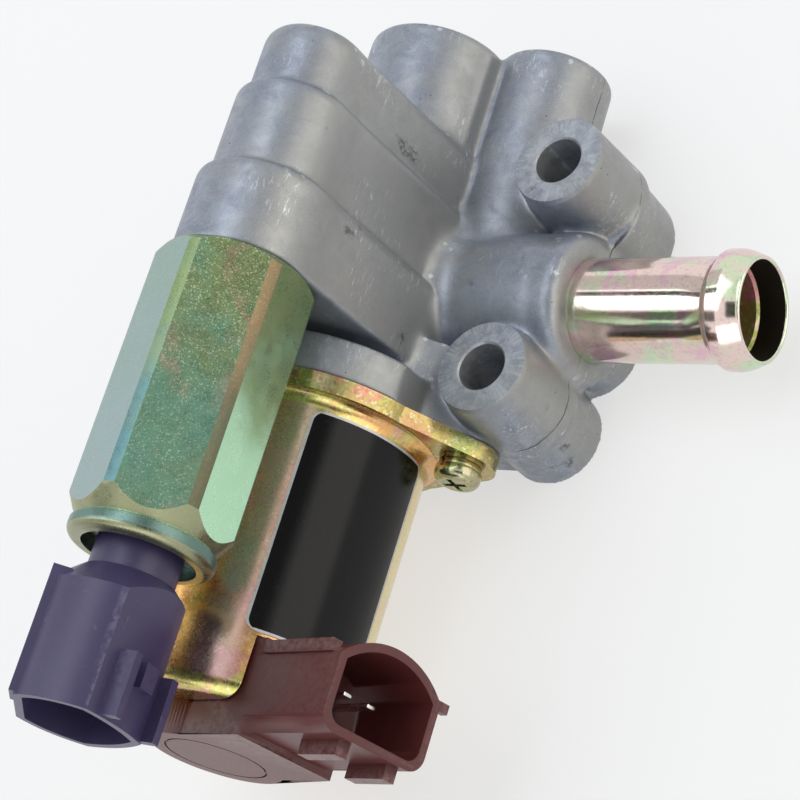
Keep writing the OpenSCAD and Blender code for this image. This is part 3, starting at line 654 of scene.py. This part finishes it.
def winding_wire(name):
    """Enamelled copper wire laid in close turns along the solenoid axis."""
    material, tree, shader = new_material(name)
    place = make(tree, "TexCoord").outputs["Object"]
    turns = make(tree, "TexWave", {"Vector": place, "Scale": 900.0, "Distortion": 0.3},
                 bands_direction="Y").outputs["Fac"]
    colour = blend_colour(tree, turns, rgba((0.22, 0.06, 0.02)), rgba((0.55, 0.22, 0.08)))
    tree.links.new(colour, shader.inputs["Base Color"])
    shader.inputs["Metallic"].default_value = 0.6
    shader.inputs["Roughness"].default_value = 0.3
    bump(tree, shader, turns, 0.6, 0.1 * MM)
    return material


def finishes():
    """Makes each material once and returns them by name."""
    colours = bpy.context.scene.valve_colours
    made = {m.name: m for m in bpy.data.materials if m.get("valve_finish")}
    if made:
        return made
    made = [
        cast_metal(),
        plated_metal("Yellow passivate", (0.46, 0.37, 0.13), (0.32, 0.35, 0.12), (0.48, 0.23, 0.15),
                     (0.56, 0.53, 0.28), 70.0, 0.35),
        # The can's colour bands are painted reflections
        plated_metal("Can passivate", (0.78, 0.44, 0.16), (0.56, 0.54, 0.16), (0.74, 0.32, 0.30),
                     (0.72, 0.54, 0.50), 52.0, 0.30, (0.18, 0.32),
                     ((84, (0.92, 0.46, 0.14), 0.70), (66, (0.62, 0.44, 0.44), 0.70),
                      (-25, (0.86, 0.82, 0.48), 0.60))),
        plated_metal("Nipple passivate", (0.80, 0.63, 0.58), (0.60, 0.74, 0.50), (0.78, 0.50, 0.60),
                     (0.86, 0.80, 0.64), 80.0, 0.16, (0.08, 0.16)),
        hexagon_metal(),
        plated_metal("Screw passivate", (0.46, 0.42, 0.24), (0.36, 0.42, 0.22), (0.48, 0.34, 0.30),
                     (0.62, 0.62, 0.54), 240.0, 0.3, (0.16, 0.34)),
        # The main connector's socket gets painted shade inside
        moulded_plastic("Maroon moulding", colours.maroon, (0.26, 0.17, 0.16), 0.30,
                        room_shade=socket_shade),
        moulded_plastic("Purple moulding", colours.purple, (0.20, 0.18, 0.28), 0.25),
        moulded_plastic("Bobbin moulding", (0.56, 0.51, 0.40), (0.7, 0.66, 0.55), 0.15),
        moulded_plastic("Black foil", colours.label_black, (0.020, 0.020, 0.022), 0.4,
                        (0.16, 0.26), 0.22),
        # Painted shade: near-black finish for the bore just inside the nipple's mouth
        moulded_plastic("Dark bore", (0.010, 0.008, 0.005), (0.05, 0.04, 0.02), 0.2,
                        (0.5, 0.7), 0.2),
        plated_metal("Rough passivate", (0.66, 0.42, 0.16), (0.42, 0.44, 0.14), (0.74, 0.32, 0.36),
                     (0.80, 0.70, 0.50), 90.0, 0.3, (0.45, 0.6)),
        moulded_plastic("Seal rubber", (0.012, 0.012, 0.012), (0.06, 0.06, 0.06), 0.3, (0.5, 0.7)),
        plain_metal("Foil border", (0.42, 0.42, 0.42), (0.62, 0.62, 0.61), (0.35, 0.5), 0.6),
        plain_metal("Bright contact", (0.62, 0.60, 0.55), (0.86, 0.84, 0.78), (0.15, 0.3)),
        plain_metal("Turned steel", (0.42, 0.42, 0.43), (0.60, 0.60, 0.61)),
        plain_metal("Valve brass", (0.50, 0.33, 0.12), (0.72, 0.52, 0.24)),
        winding_wire("Winding"),
    ]
    for material in made:
        material["valve_finish"] = True
    return {m.name: m for m in made}


# Mesh building

def new_object(name, data):
    """An object of the scene that holds the data."""
    made = bpy.data.objects.new(name, data)
    bpy.context.scene.collection.objects.link(made)
    return made


def from_work(name, work):
    """An object with the mesh that was built in a bmesh."""
    mesh = bpy.data.meshes.new(name)
    work.to_mesh(mesh)
    work.free()
    return new_object(name, mesh)


def set_finish(piece, *names):
    """Gives the piece its finishes; only finishes that it had before are cleared from its faces."""
    if piece.data.materials:
        piece.data.materials.clear()
    for name in names:
        piece.data.materials.append(finishes()[name])


def vertex_points(mesh):
    """Places of the mesh's points as rows."""
    points = np.zeros(len(mesh.vertices) * 3)
    mesh.vertices.foreach_get("co", points)
    return points.reshape(-1, 3)


def solid_copy(node, name, finish, body):
    """A new piece with the welded mesh of a CAD node, which it replaces."""
    work = bmesh.new()
    work.from_mesh(frame["nodes"][node].data)
    bmesh.ops.remove_doubles(work, verts=work.verts, dist=WELD)
    piece = from_work(name, work)
    set_finish(piece, finish)
    for polygon in piece.data.polygons:
        polygon.material_index = 0
    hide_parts(node)
    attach(piece, body)
    return piece


def apply_modifiers(piece):
    """Turns the piece's modifiers into mesh."""
    bpy.context.view_layer.update()
    graph = bpy.context.evaluated_depsgraph_get()
    mesh = bpy.data.meshes.new_from_object(piece.evaluated_get(graph))
    piece.modifiers.clear()
    old = piece.data
    piece.data = mesh
    bpy.data.meshes.remove(old)


def shade(piece, angle=SHARP_TURN):
    """Smooth shading, with the edges kept sharp that turn by more than the angle."""
    mesh = piece.data
    mesh.polygons.foreach_set("use_smooth", [True] * len(mesh.polygons))
    mesh.set_sharp_from_angle(angle=angle)


def neck_cutter():
    """Ring that turns the hexagon's cone down to a neck behind the rolled rim."""
    place = (Matrix.Translation((SECOND_X, HEX_END, SECOND_Z))
             @ Matrix.Rotation(math.radians(-90), 4, "X"))
    return lathe("neck_cutter", [(r * MM, h * MM) for r, h in NECK_RING], place, 96)


def cut_away(piece, cutter):
    """Cuts the cutter's form out of the piece."""
    cut = piece.modifiers.new("Cut", "BOOLEAN")
    cut.operation = "DIFFERENCE"
    cut.solver = "EXACT"
    cut.object = cutter
    apply_modifiers(piece)
    bpy.data.objects.remove(cutter)


def softened(node, name, finish, width, turn):
    """A CAD node's form with every edge that turns by more than the angle rounded."""
    flat_turn, extra_turn = math.radians(0.4), math.radians(3)
    sharp = math.radians(turn)
    piece = solid_copy(node, name, finish, frame["nodes"][node]["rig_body"])
    if node == "hex_body":
        cut_away(piece, neck_cutter())
        set_finish(piece, finish)
    work = bmesh.new()
    work.from_mesh(piece.data)
    for edge in work.edges:
        edge.smooth = True
    bmesh.ops.dissolve_limit(work, angle_limit=flat_turn, verts=work.verts, edges=work.edges)
    sharp_edges = [e for e in work.edges
                   if len(e.link_faces) == 2 and e.calc_face_angle(0.0) > sharp]
    bmesh.ops.bevel(work, geom=sharp_edges, offset=width, offset_type="OFFSET", segments=2,
                    profile=0.5, affect="EDGES", clamp_overlap=True)
    bmesh.ops.remove_doubles(work, verts=work.verts, dist=WELD)
    work.to_mesh(piece.data)
    work.free()
    shade(piece, sharp + extra_turn)
    even = piece.modifiers.new("Flat faces", "WEIGHTED_NORMAL")
    even.keep_sharp = True
    even.weight = 100
    return piece


def distance(a, b, centre):
    """Distance of each point from an axis."""
    return np.hypot(a - centre[0], b - centre[1])


# Turned and cored forms of the casting, which take no part in the cast fillets
MAIN_BORE_REACH = 11.2 * MM
SPIGOT_BORE_REACH, SPIGOT_BORE_END = 8.5 * MM, 2 * MM
SECOND_BORE_REACH = 6.5 * MM
NIPPLE_BORE_REACH, NIPPLE_BORE_END = 9.4 * MM, -40 * MM
TOWER_STEPS, TOWER_STEP_REACH = (11.6 * MM, -4.4 * MM), 1.6 * MM
TOWER_FRONT, TOWER_FOOT = -10 * MM, 24 * MM
PAD_BACK, PAD_FACE, PAD_SHARE = -19 * MM, -28.6 * MM, 0.25
FOOT_HEIGHT = 1.2 * MM


def inner_corner_weight(points):
    """How far each point of the casting takes part in the cast fillets."""
    x, y, z = points.T
    weight = np.ones(len(points))
    inside_main = distance(x, z, (MAIN_X, MAIN_Z)) < MAIN_BORE_REACH
    second = distance(x, z, (SECOND_X, SECOND_Z))
    inside_second = ((second < SPIGOT_BORE_REACH) & (y < SPIGOT_BORE_END)
                     | (second < SECOND_BORE_REACH))
    inside_nipple = ((distance(y, z, (NIPPLE_Y, NIPPLE_Z)) < NIPPLE_BORE_REACH)
                     & (x > NIPPLE_BORE_END))
    weight[inside_main | inside_second | inside_nipple] = 0
    for step in TOWER_STEPS:
        near = (np.abs(y - step) < TOWER_STEP_REACH) & (x < TOWER_FRONT) & (z > TOWER_FOOT)
        weight[near] = 0
    weight[y < PAD_BACK] *= PAD_SHARE
    weight[y < PAD_FACE] = 0
    weight[z < FOOT_HEIGHT] = 0
    return weight


def fill_corners(piece, passes, edge_keep):
    """Rounds the inner corners as a casting has them, and the outer edges only a little."""
    first_passes, first_share = 2, 0.6
    slide_share, move_share = 0.5, 0.9
    mesh = piece.data
    points = vertex_points(mesh)
    count = len(points)
    ends = np.zeros(len(mesh.edges) * 2, np.int64)
    mesh.edges.foreach_get("vertices", ends)
    a, b = ends.reshape(-1, 2).T
    degree = np.bincount(np.concatenate([a, b]), minlength=count)[:, None]
    corners = np.zeros(len(mesh.loops), np.int64)
    mesh.loops.foreach_get("vertex_index", corners)
    quads = corners.reshape(-1, 4)
    weight = inner_corner_weight(points)[:, None]

    def spread(values):
        out = np.empty_like(values)
        for axis in range(3):
            line = values[:, axis]
            out[:, axis] = np.bincount(a, line[b], count) + np.bincount(b, line[a], count)
        return out / degree

    for step in range(passes + first_passes):
        face_normal = np.cross(points[quads[:, 2]] - points[quads[:, 0]],
                               points[quads[:, 3]] - points[quads[:, 1]])
        normal = np.zeros_like(points)
        for corner in range(4):
            for axis in range(3):
                normal[:, axis] += np.bincount(quads[:, corner], face_normal[:, axis], count)
        normal /= np.linalg.norm(normal, axis=1)[:, None] + 1e-20
        move = spread(points) - points
        outward = (move * normal).sum(1)[:, None]
        along = move - outward * normal
        share = np.where(outward > 0, weight, edge_keep)
        if step < first_passes:
            share = np.full_like(share, first_share)
        points = points + slide_share * along + move_share * share * outward * normal
    mesh.vertices.foreach_set("co", points.ravel())


def raise_machined_faces(piece, sizes):
    """Leaves stock on the boss fronts and in the bolt holes, and flattens the mounting face."""
    hole_reach, hole_stock, hole_start = 0.45 * MM, 0.5 * MM, 0.4 * MM
    front_reach, front_depth, front_stock = 0.3 * MM, 0.55 * MM, 0.4 * MM
    rim_width, rim_spread = 0.6 * MM, 0.05 * MM
    foot_height = 0.30 * MM
    mesh = piece.data
    points = vertex_points(mesh)
    for centre in bolt_holes():
        gap = points[:, :2] - np.array(centre)
        radius = np.hypot(gap[:, 0], gap[:, 1])
        wall = (radius < sizes.hole_radius + hole_reach) & (points[:, 2] > hole_start)
        inner = sizes.hole_radius - hole_stock
        points[wall, :2] = np.array(centre) + gap[wall] / radius[wall, None] * inner
        front = ((radius < sizes.boss_radius + front_reach)
                 & (points[:, 2] > sizes.boss_height - front_depth))
        points[front, 2] = sizes.boss_height + front_stock
        rim = front & (radius > sizes.boss_radius - rim_width)
        outer = sizes.boss_radius + rim_spread
        points[rim, :2] = np.array(centre) + gap[rim] / radius[rim, None] * outer
    points[points[:, 2] < foot_height, 2] = 0
    mesh.vertices.foreach_set("co", points.ravel())


def bolt_holes():
    """Centres of the two bolt holes."""
    mounts = frame["record"]["mounts"]
    return [m["pos_m"][:2] for m in mounts if m["name"].startswith("boss_hole")]


def cut_machined_faces(piece, sizes):
    """Cuts the boss fronts flat and drills the bolt holes."""
    below, above, bevel = 2 * MM, 3 * MM, 0.3 * MM
    reach = sizes.boss_radius + 1.2 * MM
    top = sizes.boss_height
    profile = [(0.0, -below), (sizes.hole_radius, -below), (sizes.hole_radius, top - bevel),
               (sizes.hole_radius + bevel, top), (reach, top), (reach, top + above),
               (0.0, top + above)]
    for centre in bolt_holes():
        cut_away(piece, lathe("bolt_cutter", profile, Matrix.Translation((*centre, 0.0)), 64))


def collar_ring(sizes):
    """Front of the nipple collar, with its rounded edge."""
    overlap, root = 0.5 * MM, -6 * MM
    bore = NIPPLE_RADIUS - bpy.context.scene.valve_nipple.bead_rise - overlap
    edge = sizes.collar_edge
    front = sizes.collar_front
    profile = [(bore, root), (sizes.collar_radius - overlap, root)]
    profile += arc((sizes.collar_radius - edge, front - edge), edge, 0, 90, 8)
    profile += [(bore, front)]
    return lathe("collar_ring", profile, along_nipple(0), 96)


def join_into(piece, extra):
    """Adds another mesh to the piece and removes it."""
    work = bmesh.new()
    work.from_mesh(piece.data)
    work.from_mesh(extra.data)
    work.to_mesh(piece.data)
    work.free()
    bpy.data.objects.remove(extra)


def build_casting():
    """The housing, with cast fillets, machined boss fronts and drilled bolt holes."""
    sizes = bpy.context.scene.valve_casting
    piece = solid_copy("housing", "housing_casting", "Die-cast aluminium", "valve_body")
    join_into(piece, collar_ring(sizes))
    remesh = piece.modifiers.new("Cells", "REMESH")
    remesh.mode = "VOXEL"
    remesh.voxel_size = sizes.voxel * 1
    apply_modifiers(piece)
    fill_corners(piece, sizes.fillet_passes // (1), sizes.edge_keep)
    raise_machined_faces(piece, sizes)
    triangles = 2 * len(piece.data.polygons)
    if triangles > sizes.triangles:
        thin = piece.modifiers.new("Thin", "DECIMATE")
        thin.ratio = sizes.triangles / triangles
        apply_modifiers(piece)
    cut_machined_faces(piece, sizes)
    set_finish(piece, "Die-cast aluminium")
    shade(piece, SHARP_TURN_CASTING)


def build_spring(node, name):
    """A return spring of turned steel, with a mesh of its own."""
    piece = solid_copy(node, name, "Turned steel", "valve_body")
    shade(piece)
    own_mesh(piece)


def arc(centre, radius, start, end, steps):
    """Points of an arc as (radius, along) pairs, angles in degrees."""
    angles = [math.radians(start + (end - start) * i / steps) for i in range(steps + 1)]
    return [(centre[0] + radius * math.cos(t), centre[1] + radius * math.sin(t)) for t in angles]


def lathe(name, profile, place, steps):
    """Closed ring turned from a closed profile of (radius, along) points."""
    work = bmesh.new()
    rings = []
    for i in range(steps):
        turn = 2 * math.pi * i / steps
        rings.append([work.verts.new(place @ Vector((r * math.cos(turn), r * math.sin(turn), h)))
                      for r, h in profile])
    count = len(profile)
    for i in range(steps):
        this, following = rings[i], rings[(i + 1) % steps]
        for j in range(count):
            k = (j + 1) % count
            work.faces.new((this[j], following[j], following[k], this[k]))
    bmesh.ops.recalc_face_normals(work, faces=work.faces)
    return from_work(name, work)


def along_nipple(start):
    """Places a turned form on the nipple's axis, from a point along it."""
    return (Matrix.Translation((start, NIPPLE_Y, NIPPLE_Z))
            @ Matrix.Rotation(math.radians(90), 4, "Y"))


def build_nipple():
    """Turned tube with a bead that is steep behind and slopes to the mouth, and a wider mouth."""
    sizes = bpy.context.scene.valve_nipple
    lip, mouth_rise, groove_step, groove_slope = 0.4 * MM, 0.1 * MM, 0.5 * MM, 0.4 * MM
    climb_shape, fall_shape = 0.8, 1.5
    tube_steps, bead_steps = 6, 12
    tube_r = NIPPLE_RADIUS - sizes.bead_rise
    start = NIPPLE[0].x
    length = NIPPLE[1].x - start
    shoulder = sizes.shoulder - start
    bead_at = length - sizes.bead_place
    tube = bead_at - sizes.bead_climb - shoulder
    profile = [(tube_r, 0), (tube_r, shoulder)]
    profile += [(tube_r, shoulder + tube * i / tube_steps) for i in range(1, tube_steps)]
    mouth_r = tube_r + mouth_rise
    for i in range(bead_steps + 1):
        t = i / bead_steps
        rise = sizes.bead_rise * (0.5 - 0.5 * math.cos(math.pi * t)) ** climb_shape
        profile.append((tube_r + rise, bead_at - sizes.bead_climb * (1 - t)))
    fall = length - lip - bead_at - sizes.bead_crest
    for i in range(bead_steps + 1):
        t = i / bead_steps
        drop = (tube_r + sizes.bead_rise - mouth_r) * t ** fall_shape
        profile.append((tube_r + sizes.bead_rise - drop, bead_at + sizes.bead_crest + fall * t))
    profile += arc((mouth_r - lip, length - lip), lip, 15, 90, 5)
    inner_r = tube_r - sizes.wall
    groove_r = inner_r + groove_step
    profile += arc((groove_r + lip, length - lip), lip, 90, 180, 5)
    profile += [(groove_r, length - sizes.groove_depth),
                (inner_r, length - sizes.groove_depth - groove_slope),
                (inner_r, length - 2 * sizes.groove_depth), (inner_r, 0)]
    piece = lathe("hose_nipple_tube", profile, along_nipple(start), 128)
    set_finish(piece, "Nipple passivate", "Dark bore", "Rough passivate")
    # Painted shade: the bore just inside the mouth gets the near-black finish
    for polygon in piece.data.polygons:
        gap = Vector(polygon.center) - Vector((0, NIPPLE_Y, NIPPLE_Z))
        if math.hypot(gap.y, gap.z) < groove_r + 0.05 * MM:
            deep = gap.x < NIPPLE[1].x - sizes.groove_depth
            polygon.material_index = 2 if deep else 1 if gap.x < NIPPLE[1].x - lip else 0
    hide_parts("hose_nipple")
    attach(piece, "valve_body")
    shade(piece, SHARP_TURN_NIPPLE)


def build_label():
    """Blank foil label bent round the can, with a grey border."""
    sizes = bpy.context.scene.valve_label
    outer_r = LABEL[1].x - MAIN_X
    inner_r = outer_r - sizes.thickness
    low, high = LABEL[0].y, LABEL[1].y
    b, c, half = sizes.border, sizes.corner, sizes.half_width

    def half_at(y):
        """Half of the label's width at a place along it, less in its rounded corners."""
        inset = min(y - low, high - y)
        if inset >= c:
            return half
        return half - c + math.sqrt(max(c * c - (c - inset) ** 2, 0.0))

    # Rows lie closer in the rounded corners
    ends = [0.0, 0.12 * MM, b, 0.8 * MM, 1.2 * MM, 1.6 * MM, c]
    middle_rows, columns = 24, 30
    rows = [low + e for e in ends]
    rows += [low + c + (high - low - 2 * c) * i / middle_rows for i in range(1, middle_rows)]
    rows += [high - e for e in reversed(ends)]
    work = bmesh.new()
    grids = []
    for layer in (outer_r, inner_r):
        grid = []
        for y in rows:
            w = half_at(y)
            inner = max(w - b, 0.1 * MM)
            across = [-w] + [inner * (2 * i / columns - 1) for i in range(columns + 1)] + [w]
            line = []
            for u in across:
                turn = sizes.turn + math.asin(u / outer_r)
                point = (MAIN_X + layer * math.cos(turn), y, MAIN_Z + layer * math.sin(turn))
                line.append(work.verts.new(point))
            grid.append(line)
        grids.append(grid)
    top, bottom = grids
    last_row, last_column = len(rows) - 1, columns + 2
    for i in range(last_row):
        for j in range(last_column):
            edge = i < 2 or i > last_row - 3 or j == 0 or j == last_column - 1
            face = work.faces.new((top[i][j], top[i + 1][j], top[i + 1][j + 1], top[i][j + 1]))
            face.material_index = 1 if edge else 0
            work.faces.new((bottom[i][j], bottom[i][j + 1], bottom[i + 1][j + 1],
                            bottom[i + 1][j]))
    for i in range(last_row):
        for j in (0, last_column):
            side = work.faces.new((top[i][j], bottom[i][j], bottom[i + 1][j], top[i + 1][j]))
            side.material_index = 1
    for j in range(last_column):
        for i in (0, last_row):
            side = work.faces.new((top[i][j], top[i][j + 1], bottom[i][j + 1], bottom[i][j]))
            side.material_index = 1
    bmesh.ops.recalc_face_normals(work, faces=work.faces)
    piece = from_work("label_foil", work)
    set_finish(piece, "Black foil", "Foil border")
    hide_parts("label")
    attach(piece, "valve_body")
    shade(piece)


SOFTENED = (
    # node, name, finish, slot, rounding in millimetres, least turn of a rounded edge in degrees
    ("solenoid_flange", "flange_plate", "Yellow passivate", "plated", 0.35, 33),
    ("solenoid_can", "solenoid_shell", "Can passivate", "plated", 0.25, 33),
    ("hex_body", "hex_casing", "Green passivate", "plated_green", 0.11, 20),
    ("main_connector", "main_plug_body", "Maroon moulding", "plug_maroon", 0.35, 33),
    ("second_connector", "second_plug_body", "Purple moulding", "plug_purple", 0.35, 33),
    ("flange_screws", "pan_head_screws", "Screw passivate", "screw_steel", 0.15, 33),
    ("spring_washers", "split_washers", "Screw passivate", "screw_steel", 0.12, 33),
    ("main_terminals", "main_blades", "Bright contact", "contact", 0.2, 33),
    ("second_terminals", "second_blades", "Bright contact", "contact", 0.2, 33),
)

# CAD nodes that keep their form and get a finish
KEPT = {
    "flange_o_ring": "Seal rubber",
    "hex_o_ring": "Seal rubber",
    "second_valve_pad": "Seal rubber",
    "main_bobbin": "Bobbin moulding",
    "second_bobbin": "Bobbin moulding",
    "main_coil": "Winding",
    "second_coil": "Winding",
    "guide_sleeve": "Turned steel",
    "main_core": "Turned steel",
    "second_core": "Turned steel",
    "main_plunger": "Turned steel",
    "second_plunger": "Turned steel",
    "back_plate": "Turned steel",
    "main_valve": "Valve brass",
}


# Stage

def area_light(name, place, size, power, colour):
    """Rectangular light at a place seen from the middle of the valve, turned to it."""
    data = bpy.data.lights.new(name, "AREA")
    data.shape = "RECTANGLE"
    data.size, data.size_y = size
    data.energy = power
    data.color = colour
    lamp = new_object(name, data)
    lamp.location = MIDDLE + Vector(place)
    lamp.rotation_euler = (-Vector(place)).to_track_quat("-Z", "Y").to_euler()


def sheet_mesh(name, half_length, half_width):
    """Mesh of one flat rectangle around the origin."""
    x, y = half_length, half_width
    mesh = bpy.data.meshes.new(name)
    mesh.from_pydata([(-x, -y, 0), (x, -y, 0), (x, y, 0), (-x, y, 0)], [], [(0, 1, 2, 3)])
    return mesh


def build_floor():
    """Pale floor under the mounting face, bright to the camera but with the soft shadow kept."""
    half = 3.0
    floor = new_object("floor", sheet_mesh("floor", half, half))
    material, tree, shader = new_material("Pale floor")
    shader.inputs["Base Color"].default_value = (0.90, 0.90, 0.90, 1)
    shader.inputs["Roughness"].default_value = 0.9
    white = make(tree, "Emission", {"Color": (1, 1, 1, 1), "Strength": 1.0})
    path = make(tree, "LightPath").outputs
    seen = math_node(tree, "ADD", path["Is Camera Ray"], path["Is Glossy Ray"], clamp=True)
    share = math_node(tree, "MULTIPLY", seen, 0.60)
    mixed = make(tree, "MixShader", {0: share, 1: shader.outputs[0], 2: white.outputs[0]})
    output = tree.nodes["Material Output"]
    tree.links.new(mixed.outputs[0], output.inputs["Surface"])
    floor.data.materials.append(material)


def build_world(strength):
    """Even light all round, which the camera and reflections see as white."""
    world = bpy.data.worlds.new("Pale room")
    bpy.context.scene.world = world
    world.use_nodes = True
    tree = world.node_tree
    tree.nodes.clear()
    path = make(tree, "LightPath").outputs
    direct = math_node(tree, "ADD", path["Is Camera Ray"], path["Is Transmission Ray"], clamp=True)
    seen = math_node(tree, "ADD", direct, path["Is Glossy Ray"], clamp=True)
    level = make(tree, "MapRange", {"Value": seen, "To Min": strength, "To Max": 1.0})
    back = make(tree, "Background", {"Color": (1, 1, 1, 1), "Strength": level.outputs["Result"]})
    tree.links.new(back.outputs[0], make(tree, "OutputWorld").inputs["Surface"])


def build_reflection_panel(name, direction, along, size, reach, level):
    """Glowing sheet that only reflections show, a painted reflection, long in the direction of one
    axis.
    """
    reflection_panel = new_object(name, sheet_mesh(name, size[0] / 2, size[1] / 2))
    back = Vector(direction).normalized()
    length = (Vector(along) - back * back.dot(Vector(along))).normalized()
    turn = Matrix((length, back.cross(length), back)).transposed()
    reflection_panel.matrix_world = Matrix.Translation(MIDDLE + reach * back) @ turn.to_4x4()
    material, tree, shader = new_material("Dark flag")
    tree.nodes.remove(shader)
    # Painted reflection: the sheet glows at its level and is hidden from the camera, shadows and
    # diffuse light
    glow = make(tree, "Emission", {"Color": (1, 1, 1, 1), "Strength": level})
    tree.links.new(glow.outputs[0], tree.nodes["Material Output"].inputs["Surface"])
    reflection_panel.data.materials.append(material)
    reflection_panel.visible_camera = False
    reflection_panel.visible_shadow = False
    reflection_panel.visible_diffuse = False


# The camera's place in metres, its right side, and the direction from the valve to it
CAMERA_PLACE = (0.2270, -0.1772, 0.3298)
CAMERA_RIGHT = (0.8127, 0.2792, -0.5114)
CAMERA_BACK = (0.5824, -0.3629, 0.7274)

LAMPS = (
    # name, setting, place seen from the middle of the valve and size in metres, colour
    ("Key light", "key", (-0.28, 0.10, 0.68), (0.9, 0.9), (0.88, 0.94, 1.0)),
    ("Side light", "side", (0.65, 0.12, 0.16), (0.8, 0.6), (1.0, 0.95, 0.86)),
    ("Front light", "front", (0.10, -0.65, 0.16), (0.7, 0.5), (1.0, 1.0, 1.0)),
)

# Glowing sheets that only reflections see: painted reflections
REFLECTION_PANELS = (
    # name, direction, long axis, length and width in metres, reach, level of the painted reflection
    ("camera_flag", CAMERA_BACK, (1, 0, 0), (0.55, 0.40), 0.75, 0.03),
    ("nipple_flag_top", (-0.52, 0.52, 0.67), (1, 0, 0), (0.40, 0.36), 0.62, 0.62),
    ("nipple_flag_upper", (-0.52, 0.165, 0.84), (1, 0, 0), (0.40, 0.10), 0.60, 0.05),
    ("nipple_flag_middle", (-0.58, -0.52, 0.62), (1, 0, 0), (0.55, 0.26), 0.85, 0.12),
    ("nipple_flag_lower", (-0.58, -0.79, 0.17), (1, 0, 0), (0.55, 0.18), 0.85, 0.04),
    ("hexagon_flag", (0.535, 0.363, 0.763), (0, 1, 0), (0.50, 0.30), 0.85, 0.30),
)


def build_camera(lens):
    """Camera at the place and turn that were solved from the photo."""
    data = bpy.data.cameras.new("Camera")
    data.lens = lens
    data.sensor_width = 36
    data.clip_start = 0.01
    camera = new_object("Camera", data)
    back = Vector(CAMERA_BACK).normalized()
    up = back.cross(Vector(CAMERA_RIGHT).normalized()).normalized()
    turn = Matrix((up.cross(back), up, back)).transposed()
    camera.matrix_world = Matrix.Translation(CAMERA_PLACE) @ turn.to_4x4()
    bpy.context.scene.camera = camera


# Operators

class VALVE_OT_casting(bpy.types.Operator):
    """Make the die-cast housing"""

    bl_idname = "valve.casting"
    bl_label = "Die-cast housing"

    def execute(self, context):
        build_casting()
        return {"FINISHED"}


class VALVE_OT_nipple(bpy.types.Operator):
    """Make the hose nipple"""

    bl_idname = "valve.nipple"
    bl_label = "Hose nipple"

    def execute(self, context):
        build_nipple()
        return {"FINISHED"}


class VALVE_OT_solids(bpy.types.Operator):
    """Make the flange, can, hexagon, connectors, blades and screws"""

    bl_idname = "valve.solids"
    bl_label = "Plated and moulded pieces"

    def execute(self, context):
        for node, name, finish, slot, width, turn in SOFTENED:
            softened(node, name, finish, width * MM, turn)
        return {"FINISHED"}


class VALVE_OT_label(bpy.types.Operator):
    """Make the blank label"""

    bl_idname = "valve.label"
    bl_label = "Blank label"

    def execute(self, context):
        build_label()
        return {"FINISHED"}


class VALVE_OT_inner(bpy.types.Operator):
    """Give the inner pieces their finishes"""

    bl_idname = "valve.inner"
    bl_label = "Inner pieces"

    def execute(self, context):
        build_spring("main_spring", "main_return_spring")
        build_spring("second_spring", "second_return_spring")
        for node, finish in KEPT.items():
            mesh = frame["nodes"][node].data
            for index in range(len(mesh.materials)):
                mesh.materials[index] = finishes()[finish]
        return {"FINISHED"}


class VALVE_OT_stage(bpy.types.Operator):
    """Make the floor, the light and the camera"""

    bl_idname = "valve.stage"
    bl_label = "Stage"

    def execute(self, context):
        settings = context.scene.valve_stage
        build_camera(settings.lens)
        build_floor()
        build_world(settings.ambient)
        for name, setting, place, size, colour in LAMPS:
            area_light(name, place, size, getattr(settings, setting), colour)
        for reflection_panel in REFLECTION_PANELS:
            build_reflection_panel(*reflection_panel)
        context.scene.view_settings.view_transform = "Standard"
        return {"FINISHED"}


class VALVE_PT_panel(bpy.types.Panel):
    """Lists the pieces of the valve"""

    bl_label = "Idle air control valve"
    bl_idname = "VALVE_PT_panel"
    bl_space_type = "VIEW_3D"
    bl_region_type = "UI"
    bl_category = "Valve"

    def draw(self, context):
        for operator in OPERATORS:
            self.layout.operator(operator.bl_idname)
        for name, group in GROUPS:
            settings = getattr(context.scene, name)
            self.layout.label(text=group.__doc__)
            for key in group.__annotations__:
                self.layout.prop(settings, key)


OPERATORS = (VALVE_OT_casting, VALVE_OT_nipple, VALVE_OT_solids, VALVE_OT_label,
             VALVE_OT_inner, VALVE_OT_stage)


def register():
    """Adds the settings, the operators and the panel."""
    for name, group in GROUPS:
        bpy.utils.register_class(group)
        setattr(bpy.types.Scene, name, bpy.props.PointerProperty(type=group))
    for operator in OPERATORS:
        bpy.utils.register_class(operator)
    bpy.utils.register_class(VALVE_PT_panel)


def unregister():
    """Takes them away again."""
    bpy.utils.unregister_class(VALVE_PT_panel)
    for operator in reversed(OPERATORS):
        bpy.utils.unregister_class(operator)
    for name, group in reversed(GROUPS):
        delattr(bpy.types.Scene, name)
        bpy.utils.unregister_class(group)


def main():
    """Builds the valve and its stage."""
    register()
    bpy.ops.valve.casting()
    bpy.ops.valve.nipple()
    bpy.ops.valve.solids()
    bpy.ops.valve.label()
    bpy.ops.valve.inner()
    bpy.ops.valve.stage()
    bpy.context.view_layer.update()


if __name__ == "__main__":
    main()
